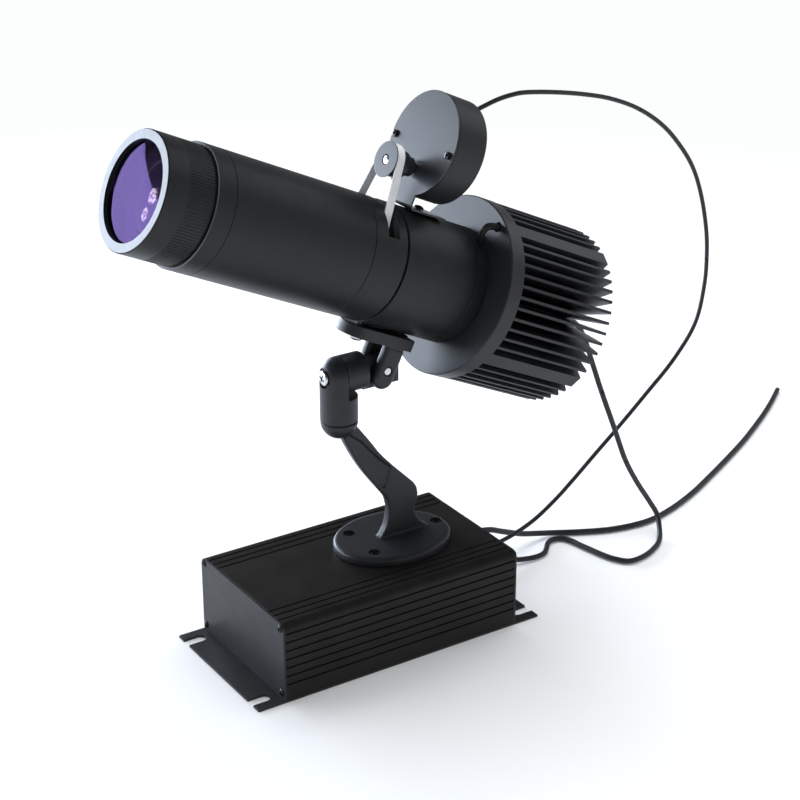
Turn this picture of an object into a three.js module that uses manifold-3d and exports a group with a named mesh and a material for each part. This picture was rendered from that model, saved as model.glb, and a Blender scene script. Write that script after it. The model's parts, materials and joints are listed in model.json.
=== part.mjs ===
// Gobo projector: a driver box that stands on a table, a two-way swivel, a lens barrel with a finned lamp
// housing, and a small motor that turns the gobo by a flat belt.
// Millimetres, +Z up, lens towards -Y, origin under the middle of the base plate.
import * as THREE from "three";
import { mergeVertices } from "three/addons/utils/BufferGeometryUtils.js";
import Module from "manifold-3d";

const wasm = await Module();
wasm.setup();

// Clearances
const FIT_GAP = 0.3;
const RUN_GAP = 0.4;
const PLAY = 0.5;
const CUT_OVERRUN = 1;

// Driver box
const BOX_WIDTH = 100;
const BOX_LENGTH = 165;
const BOX_HEIGHT = 50;
const BASE_LENGTH = 200;
const BASE_THICKNESS = 1.5;
const BASE_SLOT_WIDTH = 7;
const BASE_SLOT_SPREAD = 80;
const BASE_SLOT_DEPTH = 12.7;
const SHELL_WALL = 2.2;
const SHELL_TOP_RADIUS = 4.5;
const END_PLATE_THICKNESS = 1.5;
const GROOVE_WIDTH = 1.1;
const GROOVE_DEPTH = 0.9;
const TOP_GROOVE_INSET = 7.7;
const TOP_GROOVE_PITCH = 5.75;
const TOP_GROOVES = 3;
const SIDE_GROOVE_INSET = 6;
const SIDE_GROOVE_PITCH = 5.6;
const SIDE_GROOVES = 7;
const PORT_SIDE_INSET = 3.5;
const PORT_TOP_INSET = 3.2;
const PORT_BASE_INSET = 4.1;
const PORT_BOSS = 8;
const CASE_SCREW_RADIUS = 1.2;
const CASE_SCREW_HEAD_RADIUS = 2.4;
const CASE_SCREW_HEAD_HEIGHT = 1.1;
const CASE_SCREW_LENGTH = 9;
const BOARD_THICKNESS = 1.6;
const BOARD_RISE = 10;
const BOARD_END_GAP = 11;
const RAIL_DEPTH = 2.5;
const RAIL_THICKNESS = 1.4;
const TRANSFORMER_WIDTH = 34;
const TRANSFORMER_LENGTH = 30;
const TRANSFORMER_HEIGHT = 26;
const TRANSFORMER_FRONT_GAP = 24;
const CAPACITOR_RADIUS = 8;
const CAPACITOR_HEIGHT = 24;
const CAPACITOR_GAP = 7;

// Leads and where they leave the rear plate
const MAINS_RADIUS = 1.9;
const LAMP_LEAD_RADIUS = 1.75;
const MOTOR_LEAD_RADIUS = 1.4;
const MAINS_EXIT_X = -20;
const MAINS_EXIT_Z = 28.3;
const LAMP_EXIT_X = -17;
const LAMP_EXIT_Z = 12.5;
const MOTOR_EXIT_X = -6;
const MOTOR_EXIT_Z = 23.5;
const GROMMET_WALL = 1.5;
const GROMMET_FLANGE = 1.6;
const GROMMET_REACH = 3;
const MAINS_GLAND_REACH = 21;

// Foot and arm, one casting
const SWIVEL_X = -2;
const FOOT_REAR_GAP = 57.5;
const FOOT_HALF_WIDTH = 30.6;
const FOOT_HALF_LENGTH = 38.4;
const FOOT_THICKNESS = 6;
const FOOT_EDGE_RADIUS = 2.2;
const FOOT_SCREW_SPREAD = 14.6;
const FOOT_SCREW_FRONT = 22;
const FOOT_SCREW_REAR = 32.5;
const FOOT_SCREW_RADIUS = 2;
const FOOT_SCREW_HEAD_RADIUS = 3.4;
const FOOT_SCREW_HEAD_HEIGHT = 1.8;
const FOOT_SCREW_SINK = 2.2;
const ARM_THICKNESS = 6;
const ARM_REACH = 36.9;
const ARM_RISE = 86.2;
const ARM_PANEL_DEPTH = 1.3;

// Swivel
const SWIVEL_RADIUS = 11.3;
const WASHER_THICKNESS = 0.6;
const WASHER_INSET = 0.7;
const POST_HEIGHT = 28.1;
const POST_LEDGE = 12.8;
const SPIGOT_RADIUS = 4;
const SPIGOT_LENGTH = 6.5;
const CLAMP_SCREW_RADIUS = 3;
const CLAMP_HEAD_RADIUS = 4.6;
const CLAMP_HEAD_HEIGHT = 2.6;
const CLAMP_RECESS_RADIUS = 6;
const CLAMP_RECESS_DEPTH = 2.6;
const CLAMP_THREAD_DEPTH = 12;
const STUB_SHOULDER = 14.9;
const TONGUE_END = 38.9;
const TONGUE_HALF_THICKNESS = 4.5;
const TONGUE_RISE = 6;
const PIN_REACH = 26.73;
const PIN_RADIUS = 2.35;
const PIN_RECESS_RADIUS = 3;
const PIN_RECESS_DEPTH = 1;
const HEAD_TILT_DEG = 24.85;

// Saddle and fork under the barrel
const BARREL_RISE = 58;
const SADDLE_HALF_WIDTH = 12;
const SADDLE_THICKNESS = 7.2;
const SADDLE_DROP = 1.1;
const SADDLE_FRONT = 35.2;
const SADDLE_REAR = 10.8;
const SADDLE_RIB_HALF_WIDTH = 4;
const EAR_HALF_WIDTH = 6.9;
const EAR_TOE = 4.9;
const SADDLE_SCREW_RADIUS = 2;
const SADDLE_SCREW_HEAD_RADIUS = 4.75;
const SADDLE_SCREW_HEAD_HEIGHT = 3;
const SADDLE_SCREW_REAR_HEAD_RADIUS = 3.4;
const SADDLE_SCREW_REAR_PLACE = 0;

// Barrel, from the bezel rearwards
const REAR_TUBE_REACH = 31.9;
const BARREL_RADIUS = 35.4;
const FOCUS_STEP = 1.5;
const FOCUS_RING_LENGTH = 30.3;
const NOSE_RING_LENGTH = 12;
const MAIN_TUBE_LENGTH = 95;
const DRIVE_RING_LENGTH = 23.1;
const LIP_GAP = 1;
const REAR_TUBE_LENGTH = 50.9;
const COLLAR_LENGTH = 9.8;
const TUBE_WALL = 2.4;
const REAR_WALL = 3;
const EDGE_CHAMFER = 0.6;
const NOSE_CHAMFER = 1;
const SPIGOT_OVERLAP = 8;
const SPIGOT_WALL = 3;

// Optics
const BEZEL_LIP = 2.4;
const BEZEL_DEPTH = 3;
const FOCUS_WALL = 3.2;
const FRONT_LENS_INSET = 0.5;
const FRONT_LENS_CROWN = 2.8;
const FRONT_LENS_EDGE = 3.5;
const RETAINER_LIP = 3.1;
const RETAINER_LENGTH = 3;
const FOCUS_TRAVEL = 4;
const CELL_FLANGE = 3;
const CELL_LENGTH = 32;
const CELL_WALL = 2.5;
const CELL_LIP = 2.2;
const CELL_LIP_DEPTH = 2;
const INNER_LENS_EDGE = 2.5;
const INNER_LENS_CROWN = 2.4;
const NOSE_SPIGOT_WALL = 2.8;
const NOSE_SPIGOT_LENGTH = 8.2;
const CONDENSER_MARGIN = 3.1;
const CONDENSER_WALL = 2.2;
const CONDENSER_LENGTH = 38;
const CONDENSER_LIP = 1.8;
const CONDENSER_CROWN = 5;
const CONDENSER_EDGE = 3;
const LED_BOARD_RADIUS = 14;
const LED_BOARD_THICKNESS = 2;
const LED_DOME_RADIUS = 6;

// Gobo drive
const BELT_WIDTH = 5.2;
const BELT_THICKNESS = 1;
const BELT_FROM_DRIVE_FRONT = 10.1;
const WHEEL_FLANGE_RISE = 2.5;
const WHEEL_FLANGE_THICKNESS = 1.3;
const GOBO_RING_WALL = 4.1;
const GOBO_CUP_WALL = 2;
const GOBO_CUP_LENGTH = 4.5;
const GOBO_SEAT_WALL = 1.7;
const GOBO_DISC_THICKNESS = 0.6;
const GOBO_CLIP_THICKNESS = 1.2;
const GOBO_WINDOWS = 6;
const WHEEL_LENGTH = 11.5;
const BEARING_PLATE = 3;
const BEARING_WALL = 3.3;
const DRIVE_WALL = 4.4;
const DRIVE_SHOULDER_LIP = 10.7;
const DRIVE_SHOULDER = 2.5;
const WINDOW_HALF_ANGLE_DEG = 56;
const WINDOW_WIDTH = 7.9;

// Motor and its bracket
const MOTOR_RADIUS = 31;
const MOTOR_LIFT = 7.3;
const MOTOR_LENGTH = 20.7;
const MOTOR_WALL = 1.6;
const MOTOR_STANDOFF = 14.3;
const BRACKET_THICKNESS = 1.2;
const BRACKET_TAB_HALF_WIDTH = 10.6;
const BRACKET_FOOT_LENGTH = 27;
const BRACKET_BEND_RADIUS = 3;
const BRACKET_SCREW_PLACE = 14;
const BRACKET_SCREW_RADIUS = 1.7;
const BRACKET_SCREW_HEAD_RADIUS = 3;
const BRACKET_SCREW_HEAD_HEIGHT = 2;
const MOTOR_SCREW_SPREAD = 54;
const MOTOR_SCREW_DROP = 1.2;
const MOTOR_SCREW_RADIUS = 1.2;
const MOTOR_SCREW_HEAD_RADIUS = 2.2;
const MOTOR_SCREW_HEAD_HEIGHT = 1.4;
const MOTOR_SCREW_LENGTH = 8;
const SHAFT_OFFSET = 15.6;
const SHAFT_RADIUS = 2.75;
const SHAFT_DEPTH = 12;
const PULLEY_SEAT_RADIUS = 8.9;
const PULLEY_FLANGE_RADIUS = 10.6;
const PULLEY_FLANGE_THICKNESS = 0.6;
const PULLEY_HUB_RADIUS = 7.6;
const PULLEY_HUB_LENGTH = 5.9;
const PULLEY_NECK_RADIUS = 5.6;
const PULLEY_NECK_LENGTH = 5.5;
const MOTOR_LEAD_X = -2.4;
const MOTOR_LEAD_RISE = 25.5;
const MOTOR_GROMMET_FLANGE = 1;

// Lamp housing
const SINK_RADIUS = 54.75;
const SINK_DISC_THICKNESS = 10;
const SINK_CORE_RADIUS = 17;
const SINK_CORE_LENGTH = 64;
const FIN_LENGTH = 73.4;
const FIN_THICKNESS = 1.8;
const FIN_INSET = 0.6;
const RIB_THICKNESS = 9;
const RIBS = 4;
const FIRST_RIB_DEG = 33.3;
const FIRST_FIN_DEG = 10.4;
const FIN_PITCH_DEG = 6.92;
const FINS_BETWEEN_RIBS = 11;
const SINK_WIRE_BORE = 4;
const GLAND_NUT_RADIUS = 9;
const GLAND_NUT_LENGTH = 9;
const BOOT_RADIUS = 6.5;
const BOOT_TIP_RADIUS = 3;
const BOOT_LENGTH = 16.7;
const BRIDGE_RADIUS = 2.2;
const BRIDGE_ANGLE_DEG = 28.6;
const BRIDGE_FOOT_BACK = 3.5;
const BRIDGE_ARCH = 6.5;
const BRIDGE_SINK = 3;

// Roundness
const BARREL_SEGMENTS = 30;
const SWIVEL_SEGMENTS = 20;
const FINE_SEGMENTS = 12;
const SCREW_SEGMENTS = 8;
const DOME_STEPS = 5;
const LENS_STEPS = 3;
const ARC_STEPS = 3;
const CORD_SIDES = 8;
const CORD_STEP_SHARE = 6;

// Arm outline, as shares of its reach forward from the foot and of its rise
const ARM_REAR_SHARES = [
  [0.25, 0.955], [0.537, 0.791], [0.726, 0.677], [0.919, 0.582], [1.114, 0.494], [1.312, 0.408],
  [1.425, 0.35], [1.466, 0.28], [1.434, 0.212], [1.404, 0.167], [1.434, 0.115], [1.534, 0.055], [1.68, 0],
];
const ARM_FRONT_SHARES = [
  [0.729, 0], [0.837, 0.075], [0.886, 0.15], [0.897, 0.227], [0.855, 0.304], [0.743, 0.372],
  [0.569, 0.471], [0.379, 0.586], [0.192, 0.723], [0.04, 0.86], [0.02, 0.93],
];
const ARM_PANEL_SHARES = [
  [0.122, 0.89], [0.363, 0.81], [0.534, 0.723], [0.726, 0.631], [0.938, 0.55], [0.829, 0.395],
  [0.75, 0.402], [0.595, 0.479], [0.405, 0.597], [0.22, 0.73], [0.08, 0.86],
];
// Gobo wheel's belt seat, as a share of the drive ring's bore; the disc's windows, the circle they stand on
// and their radius, as shares of the disc's radius
const BELT_WHEEL_SHARE = 0.6742;
const GOBO_CIRCLE_SHARE = 0.46875;
const GOBO_WINDOW_SHARE = 0.1354;
// Bridge wire: its hole, as a share of the way from the barrel's surface to the disc's rim, and its arch,
// as shares of its run and of its height
const BRIDGE_HOLE_SHARE = 0.703;
const BRIDGE_SHARES = [[0.2, 0.3], [0.5, 0.8], [0.85, 0.7]];

// Places that follow from the sizes
const baseTop = BASE_THICKNESS;
const boxTop = baseTop + BOX_HEIGHT;
const footTop = boxTop + FOOT_THICKNESS;
const seamZ = footTop + ARM_RISE;
const postBase = seamZ + WASHER_THICKNESS;
const swivelZ = postBase + POST_HEIGHT;
const footY = BOX_LENGTH / 2 - FOOT_REAR_GAP;
const postY = footY - ARM_REACH;
const shellLength = BOX_LENGTH - 2 * END_PLATE_THICKNESS;
const boreRadius = BARREL_RADIUS - TUBE_WALL;
const rearBore = BARREL_RADIUS - REAR_WALL;
const focusRadius = BARREL_RADIUS - FOCUS_STEP;
const focusBore = focusRadius - FOCUS_WALL;
const bezelOpening = focusBore - BEZEL_LIP;
const noseSpigotRadius = focusBore - RUN_GAP;
const noseBore = noseSpigotRadius - NOSE_SPIGOT_WALL;
const driveBore = BARREL_RADIUS - DRIVE_WALL;
const beltWheelRadius = BELT_WHEEL_SHARE * driveBore;
const goboBore = beltWheelRadius - GOBO_RING_WALL;
const goboDiscRadius = beltWheelRadius - GOBO_SEAT_WALL;
const collarSpigot = rearBore - FIT_GAP;
const collarBore = collarSpigot - SPIGOT_WALL;
const cellRadius = noseBore - RUN_GAP;
const cellBore = cellRadius - CELL_WALL;
const cellFront = BEZEL_DEPTH + FRONT_LENS_EDGE + RETAINER_LENGTH + 3 * FIT_GAP + FOCUS_TRAVEL + RUN_GAP;
const saddleTop = BARREL_RISE - BARREL_RADIUS - SADDLE_DROP;
const saddleBottom = saddleTop - SADDLE_THICKNESS;
const rearY = -REAR_TUBE_REACH;
const driveY = rearY - LIP_GAP - DRIVE_RING_LENGTH;
const mainY = driveY - MAIN_TUBE_LENGTH;
const noseY = mainY - NOSE_RING_LENGTH;
const bezelY = noseY - FOCUS_RING_LENGTH;
const collarY = rearY + REAR_TUBE_LENGTH;
const sinkY = collarY + COLLAR_LENGTH;
const beltFront = driveY + BELT_FROM_DRIVE_FRONT;
const beltRear = beltFront + BELT_WIDTH;
const bearingY = driveY + DRIVE_RING_LENGTH - LIP_GAP - BEARING_PLATE;
const motorFace = beltRear + MOTOR_STANDOFF;
const motorRise = BARREL_RADIUS + MOTOR_LIFT + MOTOR_RADIUS;
const shaftRise = motorRise - SHAFT_OFFSET;
const bridgeCircle = BARREL_RADIUS + BRIDGE_HOLE_SHARE * (SINK_RADIUS - BARREL_RADIUS);

const object = new THREE.Group();

// A finish, one for each mesh
function finish(color, roughness, metalness) {
  return new THREE.MeshStandardMaterial({ color, roughness, metalness });
}
const blackAnodised = () => finish(0x1c1e20, 0.5, 0.4);
const castBlack = () => finish(0x17181a, 0.55, 0.2);
const blackSteel = () => finish(0x1a1a1c, 0.4, 0.7);
const brightSteel = () => finish(0xd8d8da, 0.2, 1);
const blackPlastic = () => finish(0x141415, 0.6, 0);
const coatedGlass = () => finish(0x8f7fd0, 0.08, 0.1);
const clearGlass = () => finish(0xdfe6ee, 0.05, 0);
const whiteRubber = () => finish(0xe2e2e0, 0.6, 0);

// Adds one named mesh to a group
function add(group, name, geometry, material) {
  const mesh = new THREE.Mesh(geometry, material);
  mesh.name = name;
  group.add(mesh);
  return mesh;
}

// Points of a quarter circle from its full radius to the axis
function quarterRound(radius) {
  return Array.from({ length: DOME_STEPS + 1 }, (_, i) => {
    const angle = (i * Math.PI) / (2 * DOME_STEPS);
    return [i === DOME_STEPS ? 0 : radius * Math.cos(angle), radius * Math.sin(angle)];
  });
}

// Closed solid from a geometry, for cutting and joining
function solid(geometry) {
  const bare = geometry.clone();
  bare.deleteAttribute("normal");
  bare.deleteAttribute("uv");
  const merged = mergeVertices(bare, FIT_GAP / 1000);
  const index = merged.index.array;
  const kept = [];
  for (let i = 0; i < index.length; i += 3) {
    const [a, b, c] = [index[i], index[i + 1], index[i + 2]];
    if (a !== b && b !== c && a !== c) kept.push(a, b, c);
  }
  const mesh = new wasm.Mesh({
    numProp: 3,
    vertProperties: new Float32Array(merged.attributes.position.array),
    triVerts: new Uint32Array(kept),
  });
  return new wasm.Manifold(mesh);
}

// Geometry from a solid
function geometryOf(manifold) {
  const mesh = manifold.getMesh();
  const geometry = new THREE.BufferGeometry();
  geometry.setAttribute("position", new THREE.BufferAttribute(mesh.vertProperties, 3));
  geometry.setIndex(new THREE.BufferAttribute(mesh.triVerts, 1));
  const faceted = geometry.toNonIndexed();
  faceted.computeVertexNormals();
  return faceted;
}

function join(first, ...others) {
  return geometryOf(others.reduce((whole, one) => whole.add(solid(one)), solid(first)));
}

function cut(first, ...cutters) {
  return geometryOf(cutters.reduce((whole, one) => whole.subtract(solid(one)), solid(first)));
}

// Turned about the Y axis from [radius, y] points of a closed outline; the outline may touch the axis
function turned(points, segments = BARREL_SEGMENTS) {
  const outline = points.map(([r, y]) => new THREE.Vector2(r, y));
  if (THREE.ShapeUtils.isClockWise(outline)) outline.reverse();
  const first = outline.findIndex((p) => p.x === 0);
  if (first < 0) return new THREE.LatheGeometry([...outline, outline[0].clone()], segments);
  const start = outline.findIndex((p, i) => p.x === 0 && outline.at(i - 1).x === 0);
  const open = [...outline.slice(start), ...outline.slice(0, start)];
  return new THREE.LatheGeometry(open, segments);
}

function ring(inner, outer, y0, y1, segments) {
  return turned([[inner, y0], [outer, y0], [outer, y1], [inner, y1]], segments);
}

function rod(radius, y0, y1, segments) {
  return turned([[0, y0], [radius, y0], [radius, y1], [0, y1]], segments);
}

// Turns a piece made about Y so that its axis is Z, with +Y going to +Z
function upright(geometry) {
  return geometry.rotateX(Math.PI / 2);
}

// Turns a piece made about Y so that its axis is X
function sideways(geometry) {
  return geometry.rotateZ(-Math.PI / 2);
}

function block(x0, x1, y0, y1, z0, z1) {
  return new THREE.BoxGeometry(x1 - x0, y1 - y0, z1 - z0)
    .translate((x0 + x1) / 2, (y0 + y1) / 2, (z0 + z1) / 2);
}

// Extrudes an outline drawn in X and Z along Y
function alongY(shape, y0, y1, curveSegments = FINE_SEGMENTS / 2) {
  return new THREE.ExtrudeGeometry(shape, { depth: y1 - y0, bevelEnabled: false, curveSegments })
    .rotateX(Math.PI / 2)
    .translate(0, y1, 0);
}

// Extrudes an outline drawn in Y and Z along X
function alongX(shape, x0, x1, curveSegments = FINE_SEGMENTS / 2) {
  return new THREE.ExtrudeGeometry(shape, { depth: x1 - x0, bevelEnabled: false, curveSegments })
    .rotateY(Math.PI / 2)
    .rotateX(Math.PI / 2)
    .translate(x0, 0, 0);
}

// Screw about Y with its head in front: head from y0 to y0 + height, then the shank
function screw(headRadius, headHeight, radius, length, y0) {
  return turned([
    [0, y0], [headRadius, y0], [headRadius, y0 + headHeight], [radius, y0 + headHeight],
    [radius, y0 + headHeight + length], [0, y0 + headHeight + length],
  ], SCREW_SEGMENTS);
}

// Round tube along a route of points
function tube(points, radius, step) {
  const route = new THREE.CatmullRomCurve3(points.map((p) => new THREE.Vector3(...p)), false, "centripetal");
  const steps = Math.max(2, Math.round(route.getLength() / step));
  const section = new THREE.Shape();
  for (let i = 0; i < CORD_SIDES; i += 1) {
    const angle = (2 * Math.PI * (i + 0.5)) / CORD_SIDES;
    const [x, y] = [radius * Math.cos(angle), radius * Math.sin(angle)];
    if (i === 0) section.moveTo(x, y);
    else section.lineTo(x, y);
  }
  section.closePath();
  return new THREE.ExtrudeGeometry(section, { steps, extrudePath: route, bevelEnabled: false });
}

// Outline of the box's section, with its grooves or plain
function boxOutline(grooved) {
  const half = BOX_WIDTH / 2;
  const top = boxTop;
  const shape = new THREE.Shape();
  const sides = grooved
    ? Array.from({ length: SIDE_GROOVES }, (_, i) => top - SIDE_GROOVE_INSET - i * SIDE_GROOVE_PITCH)
    : [];
  const tops = grooved
    ? Array.from({ length: TOP_GROOVES }, (_, i) => half - TOP_GROOVE_INSET - i * TOP_GROOVE_PITCH)
    : [];
  const notch = (across, along, flip) => {
    const before = along - (flip * GROOVE_WIDTH) / 2;
    const after = along + (flip * GROOVE_WIDTH) / 2;
    return { before, after, floor: across };
  };
  shape.moveTo(-half, baseTop);
  shape.lineTo(half, baseTop);
  for (const z of [...sides].reverse()) {
    const { before, after, floor } = notch(half - GROOVE_DEPTH, z, 1);
    shape.lineTo(half, before).lineTo(floor, before).lineTo(floor, after).lineTo(half, after);
  }
  shape.lineTo(half, top - SHELL_TOP_RADIUS);
  shape.absarc(half - SHELL_TOP_RADIUS, top - SHELL_TOP_RADIUS, SHELL_TOP_RADIUS, 0, Math.PI / 2);
  for (const x of [...tops, ...tops.map((t) => -t).reverse()]) {
    const { before, after, floor } = notch(top - GROOVE_DEPTH, x, -1);
    shape.lineTo(before, top).lineTo(before, floor).lineTo(after, floor).lineTo(after, top);
  }
  shape.absarc(SHELL_TOP_RADIUS - half, top - SHELL_TOP_RADIUS, SHELL_TOP_RADIUS, Math.PI / 2, Math.PI);
  for (const z of sides) {
    const { before, after, floor } = notch(GROOVE_DEPTH - half, z, -1);
    shape.lineTo(-half, before).lineTo(floor, before).lineTo(floor, after).lineTo(-half, after);
  }
  shape.closePath();
  return shape;
}

// The four screw places at the corners of the box's section
const portPlaces = [-1, 1].flatMap((side) => [
  [side * (BOX_WIDTH / 2 - PORT_SIDE_INSET), boxTop - PORT_TOP_INSET],
  [side * (BOX_WIDTH / 2 - PORT_SIDE_INSET), baseTop + PORT_BASE_INSET],
]);

function roundHole(x, z, radius) {
  return new THREE.Path().absarc(x, z, radius, 0, 2 * Math.PI, true);
}

// Inside of the shell, with rails for the board and solid corners for the screw ports
function shellCavity() {
  const x = BOX_WIDTH / 2 - SHELL_WALL;
  const z0 = baseTop + SHELL_WALL;
  const z1 = boxTop - SHELL_WALL;
  const slot = baseTop + BOARD_RISE;
  const slotTop = slot + BOARD_THICKNESS + 2 * FIT_GAP;
  const rail = [
    [x, slot - RAIL_THICKNESS], [x - RAIL_DEPTH, slot - RAIL_THICKNESS], [x - RAIL_DEPTH, slot], [x, slot],
    [x, slotTop], [x - RAIL_DEPTH, slotTop], [x - RAIL_DEPTH, slotTop + RAIL_THICKNESS],
    [x, slotTop + RAIL_THICKNESS],
  ];
  const right = [[x - PORT_BOSS, z0], [x, z0 + PORT_BOSS - RAIL_THICKNESS], ...rail, [x, z1 - PORT_BOSS],
    [x - PORT_BOSS, z1]];
  const left = right.map(([a, b]) => [-a, b]).reverse();
  return new THREE.Path([...right, ...left].map(([a, b]) => new THREE.Vector2(a, b)));
}

function driverBox() {
  const group = new THREE.Group();
  const half = BOX_WIDTH / 2;
  const slotRadius = BASE_SLOT_WIDTH / 2;

  const slots = [];
  for (const end of [-1, 1]) {
    for (const side of [-1, 1]) {
      const x = (side * BASE_SLOT_SPREAD) / 2;
      const inner = end * (BASE_LENGTH / 2 - BASE_SLOT_DEPTH + slotRadius);
      const outer = end * (BASE_LENGTH / 2 + CUT_OVERRUN);
      slots.push(block(x - slotRadius, x + slotRadius, Math.min(inner, outer), Math.max(inner, outer),
        -CUT_OVERRUN, baseTop + CUT_OVERRUN));
      slots.push(upright(rod(slotRadius, -CUT_OVERRUN, baseTop + CUT_OVERRUN, FINE_SEGMENTS))
        .translate(x, inner, 0));
    }
  }
  const sheet = block(-half, half, -BASE_LENGTH / 2, BASE_LENGTH / 2, 0, baseTop);
  add(group, "base_plate", cut(sheet, ...slots), blackSteel());

  const shell = boxOutline(true);
  shell.holes.push(shellCavity());
  for (const [x, z] of portPlaces) shell.holes.push(roundHole(x, z, CASE_SCREW_RADIUS + FIT_GAP));
  const walls = alongY(shell, -shellLength / 2, shellLength / 2, ARC_STEPS);
  const footBores = footScrewPlaces.map(([x, y]) => upright(
    rod(FOOT_SCREW_RADIUS + FIT_GAP, boxTop - 2 * SHELL_WALL, boxTop + CUT_OVERRUN, SCREW_SEGMENTS),
  ).translate(x, y, 0));
  add(group, "driver_shell", cut(walls, ...footBores), blackAnodised());

  const exits = [
    ["mains_gland", MAINS_EXIT_X, MAINS_EXIT_Z, MAINS_RADIUS, MAINS_GLAND_REACH],
    ["lamp_grommet", LAMP_EXIT_X, LAMP_EXIT_Z, LAMP_LEAD_RADIUS, GROMMET_REACH],
    ["motor_grommet", MOTOR_EXIT_X, MOTOR_EXIT_Z, MOTOR_LEAD_RADIUS, GROMMET_REACH],
  ];
  for (const end of [-1, 1]) {
    const plate = boxOutline(false);
    for (const [x, z] of portPlaces) plate.holes.push(roundHole(x, z, CASE_SCREW_RADIUS + FIT_GAP));
    if (end > 0) {
      for (const [, x, z, radius] of exits) {
        plate.holes.push(roundHole(x, z, radius + GROMMET_WALL + FIT_GAP));
      }
    }
    const inner = end > 0 ? shellLength / 2 : -BOX_LENGTH / 2;
    const name = end > 0 ? "rear_end_plate" : "front_end_plate";
    add(group, name, alongY(plate, inner, inner + END_PLATE_THICKNESS), blackAnodised());
  }
  portPlaces.forEach(([x, z], i) => {
    const front = -BOX_LENGTH / 2 - CASE_SCREW_HEAD_HEIGHT;
    const body = screw(CASE_SCREW_HEAD_RADIUS, CASE_SCREW_HEAD_HEIGHT, CASE_SCREW_RADIUS,
      CASE_SCREW_LENGTH, front);
    add(group, `front_plate_screw_${i + 1}`, body.translate(x, 0, z), blackSteel());
  });

  // Each grommet: a neck through the plate, a flange on each side and, outside, a taper round the lead
  for (const [name, x, z, radius, reach] of exits) {
    const neck = radius + GROMMET_WALL;
    const flange = neck + GROMMET_FLANGE;
    const y0 = shellLength / 2 - FIT_GAP - GROMMET_FLANGE;
    const y1 = BOX_LENGTH / 2 + FIT_GAP;
    const body = turned([
      [0, y0], [flange, y0], [flange, y0 + GROMMET_FLANGE], [neck, y0 + GROMMET_FLANGE], [neck, y1],
      [flange, y1], [flange, y1 + GROMMET_FLANGE / 2], [neck, y1 + GROMMET_FLANGE],
      [radius + GROMMET_WALL / 3, y1 + reach], [0, y1 + reach],
    ], FINE_SEGMENTS);
    add(group, name, body.translate(x, 0, z), blackPlastic());
  }

  const boardHalf = half - SHELL_WALL - FIT_GAP;
  const boardZ = baseTop + BOARD_RISE + FIT_GAP;
  const boardTop = boardZ + BOARD_THICKNESS;
  const boardEnd = shellLength / 2 - BOARD_END_GAP;
  add(group, "driver_board", block(-boardHalf, boardHalf, -boardEnd, boardEnd, boardZ, boardTop),
    finish(0x1f5a34, 0.6, 0));
  const coreTop = boardTop + FIT_GAP + TRANSFORMER_HEIGHT;
  const winding = block(-TRANSFORMER_WIDTH / 2, TRANSFORMER_WIDTH / 2, -TRANSFORMER_LENGTH / 4,
    TRANSFORMER_LENGTH / 4, boardTop + FIT_GAP, coreTop);
  const coil = block(-TRANSFORMER_WIDTH / 3, TRANSFORMER_WIDTH / 3, -TRANSFORMER_LENGTH / 2,
    TRANSFORMER_LENGTH / 2, boardTop + FIT_GAP, coreTop - TRANSFORMER_HEIGHT / 5);
  const transformerY = TRANSFORMER_FRONT_GAP + TRANSFORMER_LENGTH / 2 - shellLength / 2;
  add(group, "driver_transformer", join(winding, coil).translate(0, transformerY, 0),
    finish(0xb88a3c, 0.6, 0.2));
  const can = upright(rod(CAPACITOR_RADIUS, boardTop + FIT_GAP, boardTop + FIT_GAP + CAPACITOR_HEIGHT,
    FINE_SEGMENTS));
  const canY = transformerY + TRANSFORMER_LENGTH / 2 + CAPACITOR_GAP + CAPACITOR_RADIUS;
  add(group, "driver_capacitor", can.translate(TRANSFORMER_WIDTH / 2, canY, 0),
    finish(0x23324f, 0.4, 0.1));
  return group;
}

// Screw places in the oval foot
const footScrewPlaces = [
  [SWIVEL_X - FOOT_SCREW_SPREAD, footY - FOOT_SCREW_FRONT],
  [SWIVEL_X + FOOT_SCREW_SPREAD, footY - FOOT_SCREW_FRONT],
  [SWIVEL_X, footY + FOOT_SCREW_REAR],
];

function armPoint([along, up]) {
  return new THREE.Vector2(postY + along * ARM_REACH, footTop + up * ARM_RISE);
}

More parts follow.
